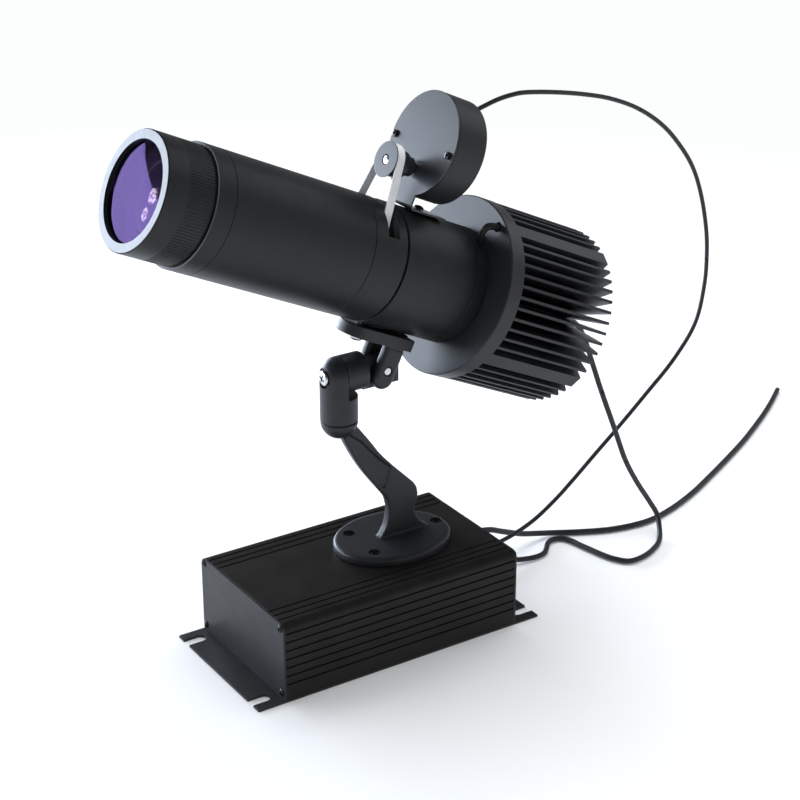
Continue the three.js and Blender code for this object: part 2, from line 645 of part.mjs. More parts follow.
function footArm() {
  const group = new THREE.Group();
  const edge = FOOT_EDGE_RADIUS;
  const oval = upright(turned([
    [0, boxTop], [FOOT_HALF_WIDTH, boxTop], [FOOT_HALF_WIDTH, footTop - edge],
    [FOOT_HALF_WIDTH - edge * (1 - Math.cos(Math.PI / 4)), footTop - edge * (1 - Math.sin(Math.PI / 4))],
    [FOOT_HALF_WIDTH - edge, footTop], [0, footTop],
  ])).scale(1, FOOT_HALF_LENGTH / FOOT_HALF_WIDTH, 1).translate(SWIVEL_X, footY, 0);

  const rear = ARM_REAR_SHARES.map(armPoint);
  const front = ARM_FRONT_SHARES.map(armPoint);
  const below = boxTop + FOOT_THICKNESS / 2;
  const heel = [new THREE.Vector2(rear.at(-1).x, below), new THREE.Vector2(front[0].x, below)];
  const outline = new THREE.Shape([...rear, ...heel, ...front]);
  const x0 = SWIVEL_X - ARM_THICKNESS / 2;
  const x1 = SWIVEL_X + ARM_THICKNESS / 2;
  const web = alongX(outline, x0, x1);

  // Dome under the post: half a ball with its flat face up, bored for the spigot
  const dome = [[0, seamZ]];
  for (const [radius, rise] of quarterRound(SWIVEL_RADIUS)) dome.push([radius, seamZ - rise]);
  const cup = upright(turned(dome, SWIVEL_SEGMENTS)).translate(SWIVEL_X, postY, 0);
  const body = [web, cup].reduce((whole, one) => whole.add(solid(one)), solid(oval));

  const panel = new THREE.Shape(ARM_PANEL_SHARES.map(armPoint));
  const cutters = [
    alongX(panel, x0 - CUT_OVERRUN, x0 + ARM_PANEL_DEPTH),
    alongX(panel, x1 - ARM_PANEL_DEPTH, x1 + CUT_OVERRUN),
    upright(rod(SPIGOT_RADIUS + FIT_GAP, seamZ - SPIGOT_LENGTH, seamZ + CUT_OVERRUN, FINE_SEGMENTS))
      .translate(SWIVEL_X, postY, 0),
  ];
  const sinkTop = footTop - FOOT_SCREW_SINK + FOOT_SCREW_HEAD_HEIGHT + CUT_OVERRUN;
  for (const [x, y] of footScrewPlaces) {
    const sink = turned([
      [0, boxTop - CUT_OVERRUN], [FOOT_SCREW_RADIUS + FIT_GAP, boxTop - CUT_OVERRUN],
      [FOOT_SCREW_RADIUS + FIT_GAP, footTop - FOOT_SCREW_SINK - FIT_GAP],
      [FOOT_SCREW_HEAD_RADIUS + FIT_GAP, footTop - FOOT_SCREW_SINK - FIT_GAP],
      [FOOT_SCREW_HEAD_RADIUS + FIT_GAP, sinkTop], [0, sinkTop],
    ], SCREW_SEGMENTS);
    cutters.push(upright(sink).translate(x, y, 0));
  }
  const casting = geometryOf(cutters.reduce((whole, one) => whole.subtract(solid(one)), body));
  add(group, "foot_arm", casting, castBlack());

  footScrewPlaces.forEach(([x, y], i) => {
    const top = footTop - FOOT_SCREW_SINK + FOOT_SCREW_HEAD_HEIGHT;
    const length = FOOT_THICKNESS + SHELL_WALL - FOOT_SCREW_SINK;
    const body = screw(FOOT_SCREW_HEAD_RADIUS, FOOT_SCREW_HEAD_HEIGHT, FOOT_SCREW_RADIUS, length, 0);
    body.rotateX(-Math.PI / 2).translate(x, y, top);
    add(group, `foot_screw_${i + 1}`, body, blackSteel());
  });
  return group;
}

// Post: a round stem with a ball top, its rear half cut away above the ledge
function swivelPost() {
  const group = new THREE.Group();
  const stem = [[0, postBase - SPIGOT_LENGTH], [SPIGOT_RADIUS, postBase - SPIGOT_LENGTH],
    [SPIGOT_RADIUS, postBase], [SWIVEL_RADIUS, postBase]];
  for (const [radius, rise] of quarterRound(SWIVEL_RADIUS)) stem.push([radius, swivelZ + rise]);
  const reach = SWIVEL_RADIUS + CUT_OVERRUN;
  const lap = block(-reach, reach, 0, reach, swivelZ - POST_LEDGE, swivelZ + reach);
  const recess = rod(CLAMP_RECESS_RADIUS, -reach, CLAMP_RECESS_DEPTH - SWIVEL_RADIUS, FINE_SEGMENTS)
    .translate(0, 0, swivelZ);
  const bore = rod(CLAMP_SCREW_RADIUS + FIT_GAP, -reach, reach, FINE_SEGMENTS).translate(0, 0, swivelZ);
  const post = cut(upright(turned(stem, SWIVEL_SEGMENTS)), lap, recess, bore);
  add(group, "swivel_post", post.translate(SWIVEL_X, postY, 0), castBlack());

  const washer = upright(ring(SPIGOT_RADIUS + FIT_GAP, SWIVEL_RADIUS - WASHER_INSET, seamZ, postBase,
    SWIVEL_SEGMENTS));
  add(group, "pan_washer", washer.translate(SWIVEL_X, postY, 0), blackPlastic());
  return group;
}

// Elbow, about the roll axis: a round stub that laps the post, and the tongue that the fork straddles
function elbow() {
  const group = new THREE.Group();
  group.position.set(SWIVEL_X, postY, swivelZ);
  const radius = SWIVEL_RADIUS;
  const barrel = rod(radius, FIT_GAP, STUB_SHOULDER, SWIVEL_SEGMENTS);
  const tongue = block(-TONGUE_HALF_THICKNESS, TONGUE_HALF_THICKNESS, STUB_SHOULDER - CUT_OVERRUN, TONGUE_END,
    -radius, TONGUE_RISE);
  const pinBore = sideways(rod(PIN_RADIUS + FIT_GAP, -radius, radius, FINE_SEGMENTS))
    .translate(0, PIN_REACH, 0);
  const thread = rod(CLAMP_SCREW_RADIUS + FIT_GAP, 0, CLAMP_THREAD_DEPTH + 2 * FIT_GAP, FINE_SEGMENTS);
  const stub = solid(barrel).add(solid(tongue)).subtract(solid(pinBore)).subtract(solid(thread));
  add(group, "elbow_stub", geometryOf(stub), castBlack());

  const headFront = CLAMP_RECESS_DEPTH - SWIVEL_RADIUS - FIT_GAP - CLAMP_HEAD_HEIGHT;
  const shank = CLAMP_THREAD_DEPTH - headFront - CLAMP_HEAD_HEIGHT;
  add(group, "clamp_screw", screw(CLAMP_HEAD_RADIUS, CLAMP_HEAD_HEIGHT, CLAMP_SCREW_RADIUS, shank,
    headFront), brightSteel());
  return group;
}

// Saddle pad that carries the barrel, with two ears astride the tongue; about the tilt axis
function tiltFork() {
  const pad = new THREE.Shape();
  const noseCentre = SADDLE_HALF_WIDTH - SADDLE_FRONT;
  pad.moveTo(SADDLE_HALF_WIDTH, SADDLE_REAR).lineTo(-SADDLE_HALF_WIDTH, SADDLE_REAR);
  pad.lineTo(-SADDLE_HALF_WIDTH, noseCentre);
  pad.absarc(0, noseCentre, SADDLE_HALF_WIDTH, Math.PI, 2 * Math.PI);
  pad.closePath();
  const slab = new THREE.ExtrudeGeometry(pad, {
    depth: SADDLE_THICKNESS, bevelEnabled: false, curveSegments: FINE_SEGMENTS / 2,
  }).translate(0, 0, saddleBottom);
  const rib = block(-SADDLE_RIB_HALF_WIDTH, SADDLE_RIB_HALF_WIDTH, noseCentre, SADDLE_REAR,
    saddleTop - CUT_OVERRUN, saddleTop + SADDLE_DROP - FIT_GAP);
  const ear = new THREE.Shape();
  ear.moveTo(-EAR_HALF_WIDTH, saddleBottom + CUT_OVERRUN).lineTo(-EAR_HALF_WIDTH, -EAR_TOE);
  ear.absarc(0, -EAR_TOE, EAR_HALF_WIDTH, Math.PI, 2 * Math.PI);
  ear.lineTo(EAR_HALF_WIDTH, saddleBottom + CUT_OVERRUN).closePath();
  const earInner = TONGUE_HALF_THICKNESS + PLAY;
  const ears = [alongX(ear, earInner, SADDLE_HALF_WIDTH, ARC_STEPS),
    alongX(ear, -SADDLE_HALF_WIDTH, -earInner, ARC_STEPS)];
  const reach = SADDLE_HALF_WIDTH + CUT_OVERRUN;
  const holes = [
    sideways(rod(PIN_RADIUS + FIT_GAP, -reach, reach, FINE_SEGMENTS)),
    sideways(rod(PIN_RECESS_RADIUS, SADDLE_HALF_WIDTH - PIN_RECESS_DEPTH, reach, FINE_SEGMENTS)),
    sideways(rod(PIN_RECESS_RADIUS, -reach, PIN_RECESS_DEPTH - SADDLE_HALF_WIDTH, FINE_SEGMENTS)),
    saddleBore(noseCentre),
    saddleBore(SADDLE_SCREW_REAR_PLACE),
    upright(rod(SADDLE_SCREW_REAR_HEAD_RADIUS + FIT_GAP, saddleBottom - CUT_OVERRUN,
      saddleBottom + FOOT_SCREW_SINK, SCREW_SEGMENTS)).translate(0, SADDLE_SCREW_REAR_PLACE, 0),
  ];
  const whole = [rib, ...ears].reduce((sum, one) => sum.add(solid(one)), solid(slab));
  return geometryOf(holes.reduce((sum, one) => sum.subtract(solid(one)), whole));
}

// Bore through the saddle and the rear tube's wall for a screw at y
function saddleBore(y) {
  return upright(rod(SADDLE_SCREW_RADIUS + FIT_GAP, saddleBottom - CUT_OVERRUN,
    BARREL_RISE - rearBore + CUT_OVERRUN, SCREW_SEGMENTS)).translate(0, y, 0);
}

function saddle(group) {
  add(group, "tilt_fork", tiltFork(), castBlack());
  const pinEnd = SADDLE_HALF_WIDTH - FIT_GAP;
  add(group, "tilt_pin", sideways(rod(PIN_RADIUS, -pinEnd, pinEnd, FINE_SEGMENTS)), brightSteel());
  const length = BARREL_RISE - rearBore - saddleBottom;
  const front = upright(screw(SADDLE_SCREW_HEAD_RADIUS, SADDLE_SCREW_HEAD_HEIGHT, SADDLE_SCREW_RADIUS, length,
    saddleBottom - SADDLE_SCREW_HEAD_HEIGHT - FIT_GAP));
  add(group, "saddle_screw_front", front.translate(0, SADDLE_HALF_WIDTH - SADDLE_FRONT, 0), brightSteel());
  const headDepth = FOOT_SCREW_SINK - 2 * FIT_GAP;
  const rear = upright(screw(SADDLE_SCREW_REAR_HEAD_RADIUS, headDepth, SADDLE_SCREW_RADIUS,
    length - FOOT_SCREW_SINK, saddleBottom + FIT_GAP));
  add(group, "saddle_screw_rear", rear.translate(0, SADDLE_SCREW_REAR_PLACE, 0), blackSteel());
}

// Focus ring with the front lens, and the lens cell that it drives; y counts from the bezel
function optics(group) {
  const y = bezelY;
  const end = FOCUS_RING_LENGTH - FIT_GAP;
  const focusRing = turned([
    [bezelOpening, 0], [focusRadius - EDGE_CHAMFER, 0], [focusRadius, EDGE_CHAMFER],
    [focusRadius, end], [focusBore, end], [focusBore, BEZEL_DEPTH], [bezelOpening, BEZEL_DEPTH],
  ]);
  add(group, "focus_ring", focusRing.translate(0, y, 0), blackAnodised());

  const lensFront = BEZEL_DEPTH + FIT_GAP;
  const lens = lensOutline(focusBore - FIT_GAP, bezelOpening - FRONT_LENS_INSET, lensFront,
    lensFront + FRONT_LENS_EDGE, FRONT_LENS_CROWN, 0);
  add(group, "front_lens", turned(lens).translate(0, y, 0), coatedGlass());
  const lock = lensFront + FRONT_LENS_EDGE + FIT_GAP;
  const retainer = ring(focusBore - RETAINER_LIP, focusBore - FIT_GAP, lock, lock + RETAINER_LENGTH);
  add(group, "lens_retainer", retainer.translate(0, y, 0), blackAnodised());

  const lipBore = cellBore - CELL_LIP;
  const sleeve = turned([
    [lipBore, cellFront], [noseSpigotRadius, cellFront], [noseSpigotRadius, cellFront + CELL_FLANGE],
    [cellRadius, cellFront + CELL_FLANGE], [cellRadius, cellFront + CELL_LENGTH],
    [cellBore, cellFront + CELL_LENGTH], [cellBore, cellFront + CELL_LIP_DEPTH],
    [lipBore, cellFront + CELL_LIP_DEPTH],
  ]);
  add(group, "lens_cell", sleeve.translate(0, y, 0), blackAnodised());
  const seat = cellFront + CELL_LIP_DEPTH + FIT_GAP;
  const second = lensOutline(cellBore - FIT_GAP, lipBore - FIT_GAP, seat, seat + INNER_LENS_EDGE,
    INNER_LENS_CROWN, INNER_LENS_CROWN);
  add(group, "inner_lens", turned(second).translate(0, y, 0), clearGlass());
}

// Lens outline: a flat rim, and a crown on either face, flat where its crown is 0
function lensOutline(radius, crownRadius, y0, y1, frontCrown, rearCrown) {
  const points = [];
  for (let i = 0; i <= LENS_STEPS; i += 1) {
    const share = i / LENS_STEPS;
    points.push([crownRadius * share, y0 - frontCrown * (1 - share * share)]);
  }
  points.push([radius, y0], [radius, y1]);
  for (let i = LENS_STEPS; i >= 0; i -= 1) {
    const share = i / LENS_STEPS;
    if (rearCrown > 0 || i === 0) points.push([crownRadius * share, y1 + rearCrown * (1 - share * share)]);
  }
  return points;
}

// Barrel sections behind the focus ring
function tubes(group) {
  const wall = BARREL_RADIUS;
  const spigot = boreRadius - FIT_GAP;
  const noseEnd = NOSE_RING_LENGTH - FIT_GAP;
  add(group, "nose_ring", turned([
    [noseBore, -NOSE_SPIGOT_LENGTH], [noseSpigotRadius, -NOSE_SPIGOT_LENGTH], [noseSpigotRadius, 0],
    [wall - NOSE_CHAMFER, 0], [wall, NOSE_CHAMFER], [wall, noseEnd], [spigot, noseEnd],
    [spigot, noseEnd + SPIGOT_OVERLAP], [noseBore, noseEnd + SPIGOT_OVERLAP],
  ]).translate(0, noseY, 0), blackAnodised());

  add(group, "main_tube", ring(boreRadius, wall, mainY, driveY - FIT_GAP), blackAnodised());

  const spigotBore = spigot - SPIGOT_WALL;
  const shoulderBore = driveBore - DRIVE_SHOULDER_LIP;
  const driveBody = turned([
    [spigotBore, -SPIGOT_OVERLAP], [spigot, -SPIGOT_OVERLAP], [spigot, 0], [wall, 0],
    [wall, DRIVE_RING_LENGTH - EDGE_CHAMFER], [wall - EDGE_CHAMFER, DRIVE_RING_LENGTH],
    [driveBore, DRIVE_RING_LENGTH], [driveBore, DRIVE_SHOULDER / 2],
    [shoulderBore, DRIVE_SHOULDER / 2], [shoulderBore, -DRIVE_SHOULDER / 2],
    [spigotBore, -DRIVE_SHOULDER / 2],
  ]).translate(0, driveY, 0);
  const half = THREE.MathUtils.degToRad(WINDOW_HALF_ANGLE_DEG);
  const sector = new THREE.Shape();
  const far = wall + 2 * CUT_OVERRUN;
  const near = driveBore - CUT_OVERRUN;
  sector.absarc(0, 0, far, Math.PI / 2 - half, Math.PI / 2 + half);
  sector.absarc(0, 0, near, Math.PI / 2 + half, Math.PI / 2 - half, true);
  const margin = (WINDOW_WIDTH - BELT_WIDTH) / 2;
  const window = alongY(sector, beltFront - margin, beltRear + margin);
  add(group, "drive_ring", cut(driveBody, window), blackAnodised());

  const innerBore = driveBore - FIT_GAP - SPIGOT_WALL;
  const tubeEnd = REAR_TUBE_LENGTH - FIT_GAP;
  const lip = 2 * LIP_GAP - FIT_GAP;
  const rearTube = turned([
    [innerBore, -lip], [driveBore - FIT_GAP, -lip], [driveBore - FIT_GAP, 0], [wall, 0], [wall, tubeEnd],
    [rearBore, tubeEnd], [rearBore, 2 * LIP_GAP], [innerBore, 2 * LIP_GAP],
  ]).translate(0, rearY, 0);
  const screwBores = [SADDLE_HALF_WIDTH - SADDLE_FRONT, SADDLE_SCREW_REAR_PLACE]
    .map((place) => saddleBore(place).translate(0, 0, -BARREL_RISE));
  const bracketBore = upright(rod(BRACKET_SCREW_RADIUS + FIT_GAP, rearBore - CUT_OVERRUN,
    wall + CUT_OVERRUN, SCREW_SEGMENTS)).translate(0, motorFace + BRACKET_SCREW_PLACE, 0);
  add(group, "rear_tube", cut(rearTube, ...screwBores, bracketBore), blackAnodised());

  const collar = turned([
    [collarBore, -SPIGOT_OVERLAP], [collarSpigot, -SPIGOT_OVERLAP], [collarSpigot, 0],
    [wall, 0], [wall, COLLAR_LENGTH - FIT_GAP], [collarBore, COLLAR_LENGTH - FIT_GAP],
  ]).translate(0, collarY, 0);
  const wireBore = upright(rod(BRIDGE_RADIUS + FIT_GAP, wall - REAR_WALL, wall + CUT_OVERRUN, FINE_SEGMENTS))
    .translate(0, sinkY - BRIDGE_FOOT_BACK, 0)
    .rotateY(THREE.MathUtils.degToRad(BRIDGE_ANGLE_DEG));
  add(group, "lamp_collar", cut(collar, wireBore), blackAnodised());
}

// Gobo wheel on its bearing inside the drive ring
function goboDrive(group) {
  const sleeve = goboBore - RUN_GAP;
  const bearingBore = goboBore - BEARING_WALL;
  const wheelRear = bearingY - PLAY;
  const wheelFront = wheelRear - WHEEL_LENGTH;
  const cupBore = goboDiscRadius + FIT_GAP;
  const cupOuter = cupBore + GOBO_CUP_WALL;
  const cupFront = wheelFront - GOBO_CUP_LENGTH;
  add(group, "gobo_bearing", turned([
    [bearingBore, wheelFront + RUN_GAP], [sleeve, wheelFront + RUN_GAP], [sleeve, bearingY],
    [driveBore - FIT_GAP, bearingY], [driveBore - FIT_GAP, bearingY + BEARING_PLATE],
    [bearingBore, bearingY + BEARING_PLATE],
  ], SWIVEL_SEGMENTS), blackPlastic());

  const rim = beltWheelRadius + WHEEL_FLANGE_RISE;
  const seatFront = beltFront - FIT_GAP;
  const seatRear = beltRear + FIT_GAP;
  add(group, "gobo_ring", turned([
    [goboBore, wheelFront], [cupBore, wheelFront], [cupBore, cupFront], [cupOuter, cupFront],
    [cupOuter, seatFront - WHEEL_FLANGE_THICKNESS], [rim, seatFront - WHEEL_FLANGE_THICKNESS],
    [rim, seatFront], [beltWheelRadius, seatFront], [beltWheelRadius, seatRear], [rim, seatRear],
    [rim, seatRear + WHEEL_FLANGE_THICKNESS], [beltWheelRadius, seatRear + WHEEL_FLANGE_THICKNESS],
    [beltWheelRadius, wheelRear], [goboBore, wheelRear],
  ], SWIVEL_SEGMENTS), blackPlastic());

  const discRear = wheelFront - FIT_GAP;
  const disc = rod(goboDiscRadius, discRear - GOBO_DISC_THICKNESS, discRear, SWIVEL_SEGMENTS);
  const windowCircle = GOBO_CIRCLE_SHARE * goboDiscRadius;
  const windowRadius = GOBO_WINDOW_SHARE * goboDiscRadius;
  const windows = Array.from({ length: GOBO_WINDOWS }, (_, i) => {
    const angle = (2 * Math.PI * i) / GOBO_WINDOWS;
    return rod(windowRadius, discRear - GOBO_DISC_THICKNESS - CUT_OVERRUN, discRear + CUT_OVERRUN,
      SCREW_SEGMENTS).translate(windowCircle * Math.sin(angle), 0, windowCircle * Math.cos(angle));
  });
  add(group, "gobo_disc", cut(disc, ...windows), brightSteel());
  const clipRear = discRear - GOBO_DISC_THICKNESS - FIT_GAP;
  add(group, "gobo_clip", ring(goboBore, goboDiscRadius, clipRear - GOBO_CLIP_THICKNESS, clipRear,
    SWIVEL_SEGMENTS), blackSteel());
}

// Flat belt round the motor's pulley and the gobo wheel
function beltOutline(small, large) {
  const path = new THREE.Shape();
  const lean = Math.asin((large - small) / shaftRise);
  path.absarc(0, shaftRise, small, lean, Math.PI - lean);
  path.absarc(0, 0, large, Math.PI - lean, 2 * Math.PI + lean);
  path.closePath();
  return path;
}

function belt(group) {
  const small = PULLEY_SEAT_RADIUS + FIT_GAP;
  const large = beltWheelRadius + FIT_GAP;
  const loop = beltOutline(small + BELT_THICKNESS, large + BELT_THICKNESS);
  loop.holes.push(beltOutline(small, large));
  add(group, "drive_belt", alongY(loop, beltFront, beltRear), whiteRubber());
}

// Motor, its bracket and the pulley; z counts from the barrel's axis
function motor(group) {
  const plateRear = motorFace + BRACKET_THICKNESS;
  const footBottom = BARREL_RADIUS + FIT_GAP;
  const footTopZ = footBottom + BRACKET_THICKNESS;
  const bend = BRACKET_BEND_RADIUS;
  const angle = new THREE.Shape();
  angle.moveTo(plateRear, motorRise - MOTOR_RADIUS / 2).lineTo(motorFace, motorRise - MOTOR_RADIUS / 2);
  angle.lineTo(motorFace, footBottom + bend);
  angle.absarc(motorFace + bend, footBottom + bend, bend, Math.PI, 1.5 * Math.PI);
  angle.lineTo(motorFace + BRACKET_FOOT_LENGTH, footBottom);
  angle.lineTo(motorFace + BRACKET_FOOT_LENGTH, footTopZ).lineTo(motorFace + bend, footTopZ);
  angle.absarc(motorFace + bend, footBottom + bend, bend - BRACKET_THICKNESS, 1.5 * Math.PI, Math.PI, true);
  angle.closePath();
  const tab = alongX(angle, -BRACKET_TAB_HALF_WIDTH, BRACKET_TAB_HALF_WIDTH, ARC_STEPS);
  const face = rod(MOTOR_RADIUS, motorFace, plateRear).translate(0, 0, motorRise);
  const screwZ = motorRise - MOTOR_SCREW_DROP;
  const screwX = MOTOR_SCREW_SPREAD / 2;
  const shaftHole = rod(SHAFT_RADIUS + RUN_GAP, motorFace - CUT_OVERRUN, plateRear + CUT_OVERRUN,
    FINE_SEGMENTS).translate(0, 0, shaftRise);
  const screwHoles = [-1, 1].map((side) => rod(MOTOR_SCREW_RADIUS + FIT_GAP, motorFace - CUT_OVERRUN,
    motorFace + MOTOR_SCREW_LENGTH + CUT_OVERRUN, SCREW_SEGMENTS).translate(side * screwX, 0, screwZ));
  const footHole = upright(rod(BRACKET_SCREW_RADIUS + FIT_GAP, footBottom - CUT_OVERRUN,
    footTopZ + CUT_OVERRUN, SCREW_SEGMENTS)).translate(0, motorFace + BRACKET_SCREW_PLACE, 0);
  const bracket = [shaftHole, footHole, ...screwHoles]
    .reduce((whole, one) => whole.subtract(solid(one)), solid(tab).add(solid(face)));
  add(group, "motor_bracket", geometryOf(bracket), blackAnodised());

  const screwTop = footTopZ + FIT_GAP + BRACKET_SCREW_HEAD_HEIGHT;
  const footScrew = screw(BRACKET_SCREW_HEAD_RADIUS, BRACKET_SCREW_HEAD_HEIGHT, BRACKET_SCREW_RADIUS,
    BRACKET_THICKNESS + REAR_WALL, 0);
  footScrew.rotateX(-Math.PI / 2).translate(0, motorFace + BRACKET_SCREW_PLACE, screwTop);
  add(group, "bracket_screw", footScrew, blackSteel());

  const canFront = plateRear + FIT_GAP;
  const canRear = canFront + MOTOR_LENGTH;
  const canBore = MOTOR_RADIUS - MOTOR_WALL;
  const leadZ = motorRise + MOTOR_LEAD_RISE;
  const leadNeck = MOTOR_LEAD_RADIUS + GROMMET_WALL / 2;
  const can = turned([
    [0, canRear - MOTOR_WALL], [canBore, canRear - MOTOR_WALL], [canBore, canFront],
    [MOTOR_RADIUS, canFront], [MOTOR_RADIUS, canRear - EDGE_CHAMFER], [MOTOR_RADIUS - EDGE_CHAMFER, canRear],
    [0, canRear],
  ]).translate(0, 0, motorRise);
  const leadHole = rod(leadNeck + FIT_GAP, canRear - 2 * MOTOR_WALL, canRear + CUT_OVERRUN, FINE_SEGMENTS)
    .translate(MOTOR_LEAD_X, 0, leadZ);
  add(group, "motor_housing", cut(can, leadHole), blackSteel());

  const coreRear = canRear - MOTOR_WALL - FIT_GAP;
  const core = rod(canBore - FIT_GAP, canFront, coreRear, SWIVEL_SEGMENTS).translate(0, 0, motorRise);
  const shaftWell = rod(SHAFT_RADIUS + RUN_GAP, canFront - CUT_OVERRUN, canFront + SHAFT_DEPTH + RUN_GAP,
    FINE_SEGMENTS).translate(0, 0, shaftRise);
  const leadWell = rod(leadNeck + FIT_GAP, coreRear - GROMMET_REACH, coreRear + CUT_OVERRUN, FINE_SEGMENTS)
    .translate(MOTOR_LEAD_X, 0, leadZ);
  add(group, "motor_core", cut(core, shaftWell, leadWell, ...screwHoles), finish(0x9a6a3a, 0.5, 0.4));

  const grommetRear = canRear + 2 * MOTOR_GROMMET_FLANGE - FIT_GAP;
  add(group, "motor_rear_grommet", turned([
    [0, canRear - MOTOR_WALL - FIT_GAP], [leadNeck, canRear - MOTOR_WALL - FIT_GAP],
    [leadNeck, canRear + FIT_GAP], [leadNeck + MOTOR_GROMMET_FLANGE, canRear + FIT_GAP],
    [leadNeck, grommetRear], [0, grommetRear],
  ], FINE_SEGMENTS).translate(MOTOR_LEAD_X, 0, leadZ), blackPlastic());

  for (const side of [-1, 1]) {
    const name = side < 0 ? "motor_screw_left" : "motor_screw_right";
    const body = screw(MOTOR_SCREW_HEAD_RADIUS, MOTOR_SCREW_HEAD_HEIGHT, MOTOR_SCREW_RADIUS,
      MOTOR_SCREW_LENGTH, motorFace - FIT_GAP - MOTOR_SCREW_HEAD_HEIGHT);
    add(group, name, body.translate(side * screwX, 0, screwZ), blackSteel());
  }

  // Pulley on the motor's offset shaft: front flange, belt seat, hub and neck
  const seatFront = beltFront - FIT_GAP;
  const seatRear = beltRear + FIT_GAP;
  const flangeFront = seatFront - PULLEY_FLANGE_THICKNESS;
  const hubRear = seatRear + PULLEY_HUB_LENGTH;
  const neckRear = hubRear + PULLEY_NECK_LENGTH;
  const bore = SHAFT_RADIUS + FIT_GAP;
  add(group, "motor_pulley", turned([
    [bore, flangeFront], [PULLEY_FLANGE_RADIUS, flangeFront], [PULLEY_FLANGE_RADIUS, seatFront],
    [PULLEY_SEAT_RADIUS, seatFront], [PULLEY_SEAT_RADIUS, seatRear], [PULLEY_HUB_RADIUS, seatRear],
    [PULLEY_HUB_RADIUS, hubRear], [PULLEY_NECK_RADIUS, hubRear], [PULLEY_NECK_RADIUS, neckRear],
    [bore, neckRear],
  ], SWIVEL_SEGMENTS).translate(0, 0, shaftRise), blackAnodised());
  add(group, "motor_shaft", rod(SHAFT_RADIUS, flangeFront + FIT_GAP, canFront + SHAFT_DEPTH, FINE_SEGMENTS)
    .translate(0, 0, shaftRise), brightSteel());
}

